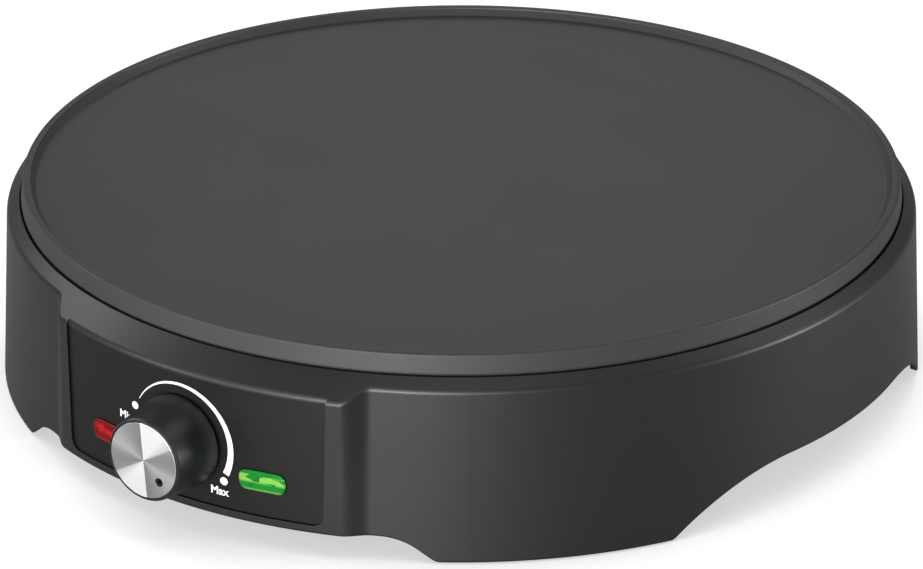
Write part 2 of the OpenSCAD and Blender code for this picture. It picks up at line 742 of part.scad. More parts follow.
// A wedge from the axis outwards, over sweep degrees from +X
module sector_wedge(sweep) {
    far = 2 * panel_r;
    linear_extrude(rim_z) polygon([[0, 0], [far, 0], polar(far, sweep / 2), polar(far, sweep)]);
}

module fascia() color([0.13, 0.13, 0.135]) difference() {
    intersection() {
        translate([0, 0, fascia_foot - over])
            tube(fascia_r, recess_r, panel_top_z, $fn = fine);
        fascia_prism(0);
    }
    on_knob_axis() translate([0, 0, bracket_y]) cylinder(r = bush_r + bush_gap, h = spindle_cut, $fn = 64);
    for (a = [-lens_angle, lens_angle]) on_panel(a, lens_z, block_inner_r - lens_cut_in)
        lens_block(lens_frame[0], lens_frame[1], lens_frame[2], lens_cut);
}

// Pilot lamps -------------------------------------------------------------

lens_back = block_inner_r - 1.5;
module pilot_lens(side) {
    on_panel(side * lens_angle, lens_z, lens_back) {
        lens_block(lens_w, lens_h, lens_corner_r, fascia_r + lens_proud - lens_back);
        translate([0, 0, -0.8]) lens_block(lens_w + 3, lens_h + 3, lens_corner_r, 1.9);
    }
}

lamp_r = 2.2;
lamp_half = 5.5;
lamp_wire_r = 0.3;
lamp_wire_l = 7;
lamp_wire_off = 0.8;
lamp_back = lens_back - 6;
// Each lamp lies along the panel, its two wires towards the panel's middle
module lamp(side) {
    on_panel(side * lens_angle, lens_z, lamp_back) mirror([side > 0 ? 1 : 0, 0, 0]) {
        rotate([0, 90, 0]) translate([0, 0, -lamp_half])
            cylinder(r = lamp_r, h = 2 * lamp_half, $fn = 32);
        for (s = [-1, 1]) translate([lamp_half, s * lamp_wire_off, 0]) rotate([0, 90, 0])
            cylinder(r = lamp_wire_r, h = lamp_wire_l, $fn = 16);
    }
}

holder_front = lens_back - 0.9;
holder_depth = 9.4;
holder_wall = 1.6;
holder_h = lens_h + 2 * holder_wall + 0.4;
holder_low = lens_z - holder_h / 2;
module lamp_holder(side) {
    on_panel(side * lens_angle, lens_z, holder_front) mirror([side > 0 ? 1 : 0, 0, 0])
        difference() {
            union() {
                translate([0, 0, -holder_depth])
                    lens_block(lens_w + 2, holder_h, holder_wall, holder_depth - seat);
                translate([0, 0, -holder_wall]) slot_bar(2 * post_off + 5, 2.5, holder_wall - seat);
            }
            translate([0, 0, holder_wall - holder_depth])
                lens_block(lens_w + 2 - 2 * holder_wall, lens_h + 0.4, 1, holder_depth);
            for (s = [-1, 1]) translate([s * post_off, 0, -3])
                cylinder(r = post_r + fit, h = 5, $fn = 24);
            // notch for the lamp's wires
            translate([lens_w / 2 - 2, -1.6, lamp_back - holder_front - 1.2]) cube([4, 3.2, 2.4]);
        }
}

module power_lens() color([0.75, 0.05, 0.07]) pilot_lens(-1);
module ready_lens() color([0.2, 0.75, 0.2]) pilot_lens(1);
module power_lamp() color([0.9, 0.6, 0.5]) lamp(-1);
module ready_lamp() color([0.8, 0.9, 0.7]) lamp(1);
module power_lamp_holder() color([0.85, 0.85, 0.82]) lamp_holder(-1);
module ready_lamp_holder() color([0.85, 0.85, 0.82]) lamp_holder(1);

// Knob --------------------------------------------------------------------

hub_r = spindle_r + 2.6;
knob_wall = 2;
knob_web = 3;
cap_pocket = cap_t - 0.1;
function knob_section() = rounded([
    [hub_r, knob_back + 1], [hub_r, knob_front - knob_web],
    [knob_front_r - knob_wall, knob_front - knob_web],
    [knob_foot_r - knob_wall, knob_back], [knob_foot_r, knob_back],
    [knob_foot_r - 0.35, knob_back + 6], [knob_front_r, knob_front - 0.7],
    [knob_front_r - 0.5, knob_front], [cap_r + cap_gap, knob_front],
    [cap_r + cap_gap, knob_front - cap_pocket], [0, knob_front - cap_pocket],
    [0, knob_back + 1]],
    [0, 0, 0.8, 0, 0.3, 4, 0.3, 0.15, 0, 0, 0, 0]);

module spindle_shape(r, from, to, flat_from) {
    difference() {
        translate([0, 0, from]) cylinder(r = r, h = to - from, $fn = 48);
        rotate([0, 0, -pointer_angle]) translate([-r - over, r - spindle_flat, flat_from])
            cube([2 * (r + over), r, to - flat_from + over]);
    }
}

module knob() color([0.1, 0.1, 0.1]) on_knob_axis() difference() {
    rotate_extrude($fn = 128) polygon(knob_section());
    spindle_shape(spindle_r + fit, knob_back - over, spindle_front + 0.2, knob_back - over);
}

module knob_cap() color([0.8, 0.8, 0.8]) on_knob_axis() difference() {
    translate([0, 0, knob_front - cap_pocket]) cylinder(r = cap_r, h = cap_t, $fn = 128);
    rotate([0, 0, -pointer_angle]) translate([0, pointer_r, knob_front - cap_pocket + cap_t - dimple_depth])
        cylinder(r = dimple_r, h = 1, $fn = 32);
}

module knob_spring() color([0.75, 0.75, 0.75]) on_knob_axis()
    translate([0, 0, knob_back + 2]) rotate([0, 0, 110 - pointer_angle])
        rotate_extrude(angle = 320, $fn = 48) translate([hub_r + fit, 0]) square([0.6, 7]);

// Thermostat --------------------------------------------------------------

module thermostat_spindle() color([0.75, 0.75, 0.72]) on_knob_axis()
    spindle_shape(spindle_r, spindle_back, spindle_front, knob_back + 0.4);

pin_back = blade_y + blade_t + pin_room;
module adjusting_pin() color([0.92, 0.9, 0.85]) on_knob_axis() {
    translate([0, 0, bush_back + 0.4])
        cylinder(r = spindle_r, h = spindle_back - seat - bush_back - 0.4, $fn = 48);
    translate([0, 0, pin_back]) cylinder(r = 1.6, h = bush_back + 0.6 - pin_back, $fn = 32);
}

module thermostat_bush() color([0.75, 0.6, 0.3]) on_knob_axis() difference() {
    union() {
        translate([0, 0, bush_back]) cylinder(r = bush_r + 2, h = bracket_y - bush_back, $fn = 48);
        translate([0, 0, bush_back]) cylinder(r = bush_r, h = bush_front - bush_back, $fn = 48);
    }
    translate([0, 0, bush_back - over])
        cylinder(r = bush_bore, h = bush_front - bush_back + 2 * over, $fn = 48);
}

module thermostat_nut() color([0.7, 0.7, 0.7]) on_knob_axis()
    translate([0, 0, bracket_y + bracket_t]) difference() {
        cylinder(r = bush_r + 3.2, h = nut_t, $fn = 6);
        translate([0, 0, -over]) cylinder(r = bush_r + fit, h = nut_t + 2 * over, $fn = 48);
    }

module thermostat_bracket() color([0.66, 0.66, 0.66]) difference() {
    union() {
        translate([-bracket_half, -bracket_y - bracket_t, bracket_foot])
            cube([2 * bracket_half, bracket_t, tab_z + bracket_t - bracket_foot]);
        translate([-bracket_half + 4, -bracket_y - bracket_t / 2, tab_z])
            cube([2 * (bracket_half - 4), bracket_y + bracket_t / 2 - tab_back, bracket_t]);
    }
    on_knob_axis() translate([0, 0, bracket_y - over])
        cylinder(r = bush_r + fit, h = bracket_t + 2 * over, $fn = 48);
    translate([0, -bracket_screw_y, tab_z - over])
        cylinder(r = plate_screw_r + fit, h = bracket_t + 2 * over, $fn = 32);
    stack_holes(1.5 + fit, bracket_y - over, bracket_t + 2 * over);
}

module bracket_screw() color([0.7, 0.7, 0.7])
    translate([0, -bracket_screw_y, tab_z]) pan_screw(plate_screw_r, bracket_t + 3, 3.6, 2.2);

// The stack of ceramic beads and blades above the spindle, on one rivet
stack_z = knob_z + 12.5;
bead_r = 5;
module stack_holes(r, from, length) {
    translate([0, 0, stack_z]) rotate([90, 0, 0]) translate([0, 0, from])
        cylinder(r = r, h = length, $fn = 32);
}

bimetal_y = blade_y - 5.5;
stack_back = bimetal_y - 3;
module thermostat_insulators() color([0.9, 0.88, 0.83])
    translate([0, 0, stack_z]) rotate([90, 0, 0]) {
        // beads between the plate, the contact blades and the bimetal
        translate([0, 0, blade_y + blade_t]) tube(bead_r, 1.6, bracket_y - blade_y - blade_t, $fn = 48);
        translate([0, 0, bimetal_y + blade_t]) tube(bead_r, 1.6, blade_y - bimetal_y - blade_t, $fn = 48);
        translate([0, 0, stack_back]) tube(bead_r, 1.6, bimetal_y - stack_back, $fn = 48);
    }

ear_x = 8;             // a blade's soldering ear, to one side of the beads
ear_z = stack_z + 3;
module blade(y, low, high, w, side) {
    difference() {
        union() {
            translate([-w / 2, -y - blade_t, low]) cube([w, blade_t, high - low]);
            translate([side > 0 ? 0 : -ear_x - 3, -y - blade_t, ear_z - 3])
                cube([ear_x + 3, blade_t, 6]);
        }
        stack_holes(1.6, y - over, blade_t + 2 * over);
    }
}

blade_low = knob_z - 7;
module contact_blades() color([0.8, 0.62, 0.35]) {
    blade(blade_y, blade_low, ear_z + 3, 6, 1);
    // rivet through the stack
    translate([0, 0, stack_z]) rotate([90, 0, 0]) {
        translate([0, 0, stack_back - 0.8]) cylinder(r = 2.6, h = 0.8, $fn = 32);
        translate([0, 0, stack_back - 0.8])
            cylinder(r = 1.5, h = bracket_y + bracket_t - stack_back + 0.8, $fn = 32);
        translate([0, 0, bracket_y + bracket_t]) cylinder(r = 2.6, h = 0.8, $fn = 32);
    }
}

module bimetal_blade() color([0.55, 0.5, 0.45]) {
    blade(bimetal_y, blade_low, ear_z + 3, 9, -1);
    translate([0, -bimetal_y - blade_t, knob_z - 4]) rotate([90, 0, 0])
        cylinder(r = 1.2, h = blade_y - bimetal_y - blade_t - 0.3, $fn = 24);
}

// Terminals, inlet and base -----------------------------------------------

way_pitch = 11;        // terminal block: distance between its ways
way_r = 2;
way_z = cover_top + 5.5;
way_screw_off = 4.5;
way_screw_r = 1.8;
block_w = 3 * way_pitch + 3;
block_d = 17;
block_h = 13;
block_fix_r = 1.5;
wire_r = 1.1;
thin_wire_r = 0.6;
knuckle = 1.35;        // radius of the ball at a lead's corner over the lead's own
wire_off = 0.75;       // a way holds a wire to one side and a thin one to the other
module terminal_block() color([0.9, 0.9, 0.87]) difference() {
    translate([-block_w / 2, block_y - block_d / 2, cover_top]) cube([block_w, block_d, block_h]);
    for (i = [-1:1]) translate([i * way_pitch, block_y, way_z]) {
        translate([0, -block_d, 0]) rotate([-90, 0, 0])
            cylinder(r = way_r, h = 2 * block_d, $fn = 32);
        for (s = [-1, 1]) translate([0, s * way_screw_off, 0])
            cylinder(r = way_screw_r, h = block_h, $fn = 32);
    }
    for (s = [-1, 1]) translate([s * way_pitch / 2, block_y, cover_top - over])
        cylinder(r = block_fix_r + fit, h = block_h + 2 * over, $fn = 32);
}

module terminal_screws() color([0.78, 0.68, 0.4]) {
    for (i = [-1:1], s = [-1, 1])
        translate([i * way_pitch, block_y + s * way_screw_off, way_z + wire_r + fit])
            difference() {
                cylinder(r = way_screw_r - fit, h = 4.5, $fn = 32);
                translate([-way_screw_r, -0.35, 3.4]) cube([2 * way_screw_r, 0.7, 2]);
            }
    for (s = [-1, 1]) translate([s * way_pitch / 2, block_y, cover_top + block_h])
        rotate([180, 0, 0]) pan_screw(block_fix_r, block_h + cover_t - 0.4, 2.4, 1.4);
}

gland_collar = 2.2;    // collar inside the wall
gland_flange_t = 2.4;
gland_inner = inner_r(inlet_z) - 1 - gland_collar - 0.25;
module cord_gland() color([0.12, 0.12, 0.12])
    translate([0, 0, inlet_z]) rotate([-90, 0, 0]) difference() {
        union() {
            translate([0, 0, gland_inner])
                cylinder(r = gland_neck_r, h = gland_face - gland_inner + 1, $fn = 64);
            translate([0, 0, gland_face])
                cylinder(r1 = gland_flange_r, r2 = gland_flange_r - 1.2, h = gland_flange_t, $fn = 64);
            translate([0, 0, gland_inner])
                cylinder(r = gland_neck_r + 1.6, h = gland_collar, $fn = 64);
        }
        translate([0, 0, gland_inner - over])
            cylinder(r = inlet_r, h = gland_face - gland_inner + gland_flange_t + 2 * over, $fn = 64);
    }

clamp_post_off = 11;
clamp_post_r = 4;
clamp_screw_r = 1.5;
clamp_bar_t = 3;
clamp_post_h = inlet_z - inlet_r - cover_top;
module clamp_posts() {
    for (s = [-1, 1]) translate([s * clamp_post_off, clamp_y, cover_top]) difference() {
        cylinder(r = clamp_post_r, h = clamp_post_h, $fn = 32);
        translate([0, 0, clamp_post_h - 7]) cylinder(r = clamp_screw_r + fit, h = 8, $fn = 32);
    }
}

module cord_clamp() color([0.15, 0.15, 0.15]) {
    z = cover_top + clamp_post_h;
    difference() {
        translate([0, clamp_y, z]) union() {
            slot_bar(2 * clamp_post_off + 2 * clamp_post_r + 1, clamp_post_r + 0.5, clamp_bar_t);
            translate([-inlet_r - 2.4, -clamp_post_r - 0.5, clamp_bar_t])
                cube([2 * inlet_r + 4.8, 2 * clamp_post_r + 1, 2 * inlet_r]);
        }
        // saddle over the cord
        translate([0, clamp_y - 6, inlet_z]) rotate([-90, 0, 0])
            cylinder(r = inlet_r, h = 12, $fn = 48);
        translate([-inlet_r, clamp_y - 6, z - over]) cube([2 * inlet_r, 12, inlet_z - z + over]);
        for (s = [-1, 1]) translate([s * clamp_post_off, clamp_y, z - over])
            cylinder(r = clamp_screw_r + fit, h = clamp_bar_t + 2 * over, $fn = 32);
    }
}

module cord_clamp_screws() color([0.7, 0.7, 0.7])
    for (s = [-1, 1]) translate([s * clamp_post_off, clamp_y, cover_top + clamp_post_h + clamp_bar_t])
        rotate([180, 0, 0]) pan_screw(clamp_screw_r, 9, 2.8, 1.8);

cover_r = inner_r(cover_top) - cover_gap;
vent_r = 62;
vent_l = 26;
vent_step = 15;
well_half = 21;        // half angle of the well under the control panel
well_floor = panel_foot + 4;
well_in = cover_fix_r - 14;
module base_cover() color([0.16, 0.16, 0.16]) difference() {
    union() {
        translate([0, 0, cover_z]) cylinder(r = cover_r, h = cover_t, $fn = fine);
        // well under the lamp holders
        translate([0, 0, well_floor])
            sector(cover_r - 0.4, well_in, front - well_half, 2 * well_half, cover_top - well_floor);
        clamp_posts();
    }
    translate([0, 0, well_floor + cover_t])
        sector(cover_r - cover_t, well_in + cover_t, front - well_half + 1,
            2 * well_half - 2, cover_top - well_floor);
    // the well's front wall stops below the lamp holders and the lenses
    translate([0, 0, holder_low - 0.4])
        sector(cover_r + 1, cover_r - cover_t - 0.5, front - well_half + 1, 2 * well_half - 2, 10);
    ring_of(cover_fix_angles, cover_fix_r) translate([0, 0, cover_z - over])
        cylinder(r = cover_screw_r + 0.2, h = cover_t + 2 * over, $fn = 32);
    for (a = [0:vent_step:360 - vent_step]) rotate([0, 0, a])
        translate([vent_r, 0, cover_z - over]) slot_bar(vent_l, 1.6, cover_t + 2 * over);
    for (s = [-1, 1]) translate([s * way_pitch / 2, block_y, cover_z - over])
        cylinder(r = block_fix_r + fit, h = cover_t + 2 * over, $fn = 32);
}

module cover_screws() color([0.7, 0.7, 0.7])
    ring_of(cover_fix_angles, cover_fix_r) translate([0, 0, cover_z])
        pan_screw(cover_screw_r, cover_screw_l, 3.4, 2.2);

module rubber_feet() color([0.08, 0.08, 0.08])
    for (a = leg_angles) rotate([0, 0, a]) translate([pad_ring_r, 0, 0]) {
        cylinder(r = pad_r, h = pad_h, $fn = 48);
        cylinder(r = 2.5, h = pad_h + leg_floor_t + 0.3, $fn = 32);
        translate([0, 0, pad_h + leg_floor_t + 0.1]) cylinder(r1 = 3.3, r2 = 2.2, h = 2, $fn = 32);
    }

wire_low = cover_top + wire_r + seat;
lane_x = 16;
way_front = block_y - block_d / 2;
// Point beside the flat of an element's tab, off away from it
function beside_tab(s, off, z) =
    let (a = element_start + (s > 0 ? 0 : element_sweep), t = s * (off + tab_t / 2 - element_bend_r))
    [element_r * cos(a) - t * sin(a), element_r * sin(a) + t * cos(a), z];
tab_mid_z = element_z - element_bend_r - 11;
fuse_lead_end = fuse_y - fuse_half - fuse_wire_l;

module live_lead() color([0.45, 0.28, 0.18])
    wire([[way_pitch - wire_off, block_y, way_z], [way_pitch - wire_off, way_front - 8, way_z],
        [lane_x, way_front - 24, wire_low], [lane_x + 4, -60, wire_low], [ear_x + 4, 14 - stack_back, 30],
        [ear_x, -blade_y + 9, ear_z], [ear_x, -blade_y, ear_z]]);

module neutral_lead() color([0.3, 0.4, 0.6])
    wire([[-way_pitch + wire_off, block_y, way_z], [-way_pitch + wire_off, way_front - 8, way_z],
        beside_tab(1, 12, way_z + 3) + [0, -12, 0], beside_tab(1, 9, tab_mid_z),
        beside_tab(1, 0, tab_mid_z)]);

module earth_lead() color([0.55, 0.65, 0.25])
    wire([[0, block_y, way_z], [0, way_front - 8, way_z], [-4, way_front - 24, wire_low],
        [-16, -60, wire_low], [-16, -104, wire_low + 4], [-bracket_half + 3.5, -bracket_y + 10, knob_z + 4],
        [-bracket_half + 3.5, -bracket_y, knob_z + 4]]);

module heater_lead() color([0.85, 0.83, 0.78])
    wire([[-ear_x, -bimetal_y, ear_z], [-ear_x, -bimetal_y + 7, ear_z],
        [-ear_x + 4, -bimetal_y + 12, shelf_z - 5], [fuse_x - 8, -20, shelf_z - 5],
        [fuse_x, fuse_lead_end - 6, fuse_z], [fuse_x, fuse_lead_end, fuse_z]]);

module fuse_lead() color([0.85, 0.83, 0.78])
    wire([[fuse_x, fuse_y + fuse_half + fuse_wire_l, fuse_z],
        [fuse_x, fuse_y + fuse_half + fuse_wire_l + 4, fuse_z],
        [fuse_x - 4, element_r * 0.8 + 4, shelf_z - 4],
        beside_tab(-1, 10, tab_mid_z + 9), beside_tab(-1, 7, tab_mid_z),
        beside_tab(-1, 0, tab_mid_z)]);

// Point at the end of a lamp's wire, or past it by more
function lamp_wire_end(side, up, more = 0) =
    let (x = -side * (lamp_half + lamp_wire_l + more), a = side * lens_angle)
    [x * cos(a) + lamp_back * sin(a), x * sin(a) - lamp_back * cos(a), lens_z + up * lamp_wire_off];
thin_low = cover_top + thin_wire_r + seat;
thin_way_x = way_pitch + 1.25;
ear_gap = 2.15;        // between a lead and a thin lead on one ear
past_bracket = bracket_half + 4;

module power_lamp_leads() color([0.75, 0.73, 0.7]) {
    wire([lamp_wire_end(-1, 1), lamp_wire_end(-1, 1, 1.6), [-past_bracket - 3, 5 - bracket_y, thin_low + 2],
        [-past_bracket - 9, 30 - bracket_y, thin_low], [-past_bracket - 9, way_front - 33, thin_low],
        [-thin_way_x, way_front - 9, thin_low], [-thin_way_x, way_front - 3, way_z],
        [-thin_way_x, block_y, way_z]], thin_wire_r);
    wire([lamp_wire_end(-1, -1), lamp_wire_end(-1, -1, 3.4), [-past_bracket, 3 - bracket_y, thin_low],
        [-12, 19 - bracket_y, thin_low], [14, 19 - bracket_y, thin_low + 6],
        [15, 17 - bracket_y, ear_z + ear_gap], [ear_x, 15 - bracket_y, ear_z + ear_gap],
        [ear_x, -blade_y, ear_z + ear_gap]], thin_wire_r);
}

module ready_lamp_leads() color([0.75, 0.73, 0.7]) {
    wire([lamp_wire_end(1, 1), lamp_wire_end(1, 1, 1.6), [past_bracket, 5 - bracket_y, knob_z - 2],
        [14, 14 - bracket_y, ear_z - 4], [ear_x, 14 - bracket_y, ear_z - ear_gap],
        [ear_x, -blade_y, ear_z - ear_gap]], thin_wire_r);
    wire([lamp_wire_end(1, -1), lamp_wire_end(1, -1, 3.4), [past_bracket + 1, 3 - bracket_y, thin_low + 1],
        [12, 23 - bracket_y, thin_low + 2], [-ear_x, 25 - bracket_y, knob_z - 2],
        [-ear_x, 21 - bracket_y, ear_z - ear_gap], [-ear_x, -bimetal_y, ear_z - ear_gap]], thin_wire_r);
}

hotplate();
heating_element();
element_terminals();
element_straps();
strap_screws();
plate_spacers();
plate_screws();
heat_shield();
thermal_fuse();
fuse_clip();
housing_front();
housing_rear();
housing_left();
housing_right();
leg_front_left();
leg_front_right();
leg_rear_left();
leg_rear_right();
support_ring();
fascia();
power_lens();
ready_lens();
power_lamp();
ready_lamp();
power_lamp_holder();
ready_lamp_holder();
knob();
knob_cap();
knob_spring();
thermostat_spindle();
adjusting_pin();
thermostat_bush();
thermostat_nut();
thermostat_bracket();
bracket_screw();
thermostat_insulators();
contact_blades();
bimetal_blade();
terminal_block();
terminal_screws();
cord_gland();
cord_clamp();
cord_clamp_screws();
base_cover();
cover_screws();
rubber_feet();
live_lead();
neutral_lead();
earth_lead();
heater_lead();
fuse_lead();
power_lamp_leads();
ready_lamp_leads();
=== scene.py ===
"""Round electric crepe maker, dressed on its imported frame.

Sizes are millimetres in the object's own frame: the table is z = 0, the
hotplate's axis is the z axis and the control panel faces -Y.
"""

import json
import logging
import math
from collections.abc import Callable, Sequence
from dataclasses import dataclass
from enum import Enum

import bmesh
import bpy
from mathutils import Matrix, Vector

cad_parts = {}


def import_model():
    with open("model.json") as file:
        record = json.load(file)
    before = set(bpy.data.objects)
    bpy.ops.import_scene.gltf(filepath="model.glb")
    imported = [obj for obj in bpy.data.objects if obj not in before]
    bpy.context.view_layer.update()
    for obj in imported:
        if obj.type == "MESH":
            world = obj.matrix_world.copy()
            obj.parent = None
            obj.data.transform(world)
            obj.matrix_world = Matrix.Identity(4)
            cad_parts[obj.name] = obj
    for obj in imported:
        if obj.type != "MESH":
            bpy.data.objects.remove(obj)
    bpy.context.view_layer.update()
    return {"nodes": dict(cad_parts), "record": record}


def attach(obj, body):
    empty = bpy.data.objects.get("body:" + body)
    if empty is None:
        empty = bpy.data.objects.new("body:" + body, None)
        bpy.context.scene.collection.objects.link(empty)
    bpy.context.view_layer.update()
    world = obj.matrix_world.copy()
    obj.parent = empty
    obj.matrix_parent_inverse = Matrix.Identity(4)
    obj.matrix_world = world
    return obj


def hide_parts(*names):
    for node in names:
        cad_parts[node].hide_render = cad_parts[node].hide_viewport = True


log = logging.getLogger("crepe_maker")

MM = 0.001
Pair = tuple[float, float]
Triple = tuple[float, float, float]
Corner = Triple
Colour = Triple

ORIGIN = Vector((0, 0, 0))
UP = Vector((0, 0, 1))
RIGHT = Vector((1, 0, 0))
FRONT = Vector((0, -1, 0))
BACK = Vector((0, 1, 0))

KNOB_HEIGHT = 32.0
INLET_HEIGHT = 33.0


# Outlines ------------------------------------------------------------------


def round_corner(before: Pair, at: Pair, after: Pair, radius: float, steps: int = 6) -> list[Pair]:
    """Round one corner of an outline.

    Args:
        before: The point before the corner.
        at: The corner itself.
        after: The point after it.
        radius: The radius of the rounding.
        steps: The number of chords in it.

    Returns:
        The points of the arc, in the outline's order.
    """
    here = Vector(at)
    back = (Vector(before) - here).normalized()
    on = (Vector(after) - here).normalized()
    half = back.angle(on) / 2
    centre = here + (back + on).normalized() * (radius / math.sin(half))
    start = here + back * (radius / math.tan(half)) - centre
    end = here + on * (radius / math.tan(half)) - centre
    first = math.atan2(start.y, start.x)
    turn = (math.atan2(end.y, end.x) - first + 3 * math.pi) % (2 * math.pi) - math.pi
    angles = (first + turn * i / steps for i in range(steps + 1))
    return [(centre.x + radius * math.cos(a), centre.y + radius * math.sin(a)) for a in angles]


def rounded(corners: Sequence[Corner], steps: int = 6) -> list[Pair]:
    """Round the corners of a closed outline.

    Args:
        corners: Each corner's place and its radius, nought for a sharp one.
        steps: The number of chords in each rounding.

    Returns:
        The outline with its rounded corners.
    """
    points = [(x, y) for x, y, _ in corners]
    made: list[Pair] = []
    for i, (x, y, radius) in enumerate(corners):
        if radius > 0:
            made += round_corner(points[i - 1], (x, y), points[(i + 1) % len(points)], radius, steps)
        else:
            made.append((x, y))
    return made


def height_at(outline: Sequence[Pair], x: float) -> float:
    """Read an outline's height at a place, straight between its points.

    Args:
        outline: Points in order of x.
        x: The place.

    Returns:
        The height there, level beyond both ends.
    """
    if x <= outline[0][0]:
        return outline[0][1]
    for (x0, z0), (x1, z1) in zip(outline, outline[1:]):
        if x <= x1:
            return z0 + (z1 - z0) * (x - x0) / max(x1 - x0, 1e-9)
    return outline[-1][1]


def around(angle: float, radius: float = 1.0) -> Vector:
    """Return the level point at an angle from +X towards +Y, in degrees."""
    turn = math.radians(angle)
    return Vector((math.cos(turn), math.sin(turn), 0)) * radius


@dataclass(frozen=True)
class Axis:
    """A line that profiles are spun about.

    A profile's point is (distance from the line, distance along it).
    """

    centre: Vector = ORIGIN
    along: Vector = UP
    outwards: Vector = RIGHT

    def place(self, point: Pair) -> Vector:
        """Return where a profile's point lies in the object's frame."""
        return self.centre + self.outwards * point[0] + self.along * point[1]


PLATE_AXIS = Axis()
KNOB_AXIS = Axis(UP * KNOB_HEIGHT, FRONT)
INLET_AXIS = Axis(UP * INLET_HEIGHT, BACK)


@dataclass(frozen=True)
class LensShape:
    """The oval of a pilot lens, which lies to the left (side -1) or the right (side 1)."""

    angle: float = 11.1
    height: float = 24.0
    width: float = 16.6
    tall: float = 7.2
    corner: float = 2.8
    back: float = 153.2
    front: float = 160.1
    hole_gap: float = 0.1
    hole_start: float = 150.0
    hole_depth: float = 16.0

    def out(self, side: int) -> Vector:
        """Return the direction straight out of the panel at a lens."""
        return around(side * self.angle - 90)

    def outline(self, side: int, out: float, gap: float) -> list[Vector]:
        """Return a lens's rounded outline.

        Args:
            side: Which lens it is.
            out: How far from the hotplate's axis it is drawn.
            gap: How much larger it is all round.

        Returns:
            The outline's points.
        """
        w, h, r = self.width / 2 + gap, self.tall / 2 + gap, self.corner + gap
        oval = rounded([(-w, -h, r), (w, -h, r), (w, h, r), (-w, h, r)])
        across, ahead = around(side * self.angle), self.out(side) * out
        return [across * x + ahead + UP * (self.height + y) for x, y in oval]

    def open_holes(self, piece: bpy.types.Object) -> None:
        """Cut the holes of both lenses through a piece of the panel.

        Args:
            piece: The piece that is cut.
        """
        for side in (-1, 1):
            outline = self.outline(side, self.hole_start, self.hole_gap)
            Bench.combine(piece, Bench.block("lens_hole", outline, self.out(side) * self.hole_depth))


LENS = LensShape()


@dataclass(frozen=True)
class Dimple:
    """The finger dimple in the knob's cap: its clock angle, ring and radius."""

    clock: float = 135.0
    ring: float = 8.65
    radius: float = 1.65

    @property
    def offset(self) -> Pair:
        """Return its middle, right of and above the knob's axis."""
        turn = math.radians(self.clock)
        return self.ring * math.sin(turn), self.ring * math.cos(turn)


DIMPLE = Dimple()


# Modelling -----------------------------------------------------------------


class Cut(Enum):
    """How one solid is combined with another."""

    AWAY = "DIFFERENCE"
    ONLY = "INTERSECT"


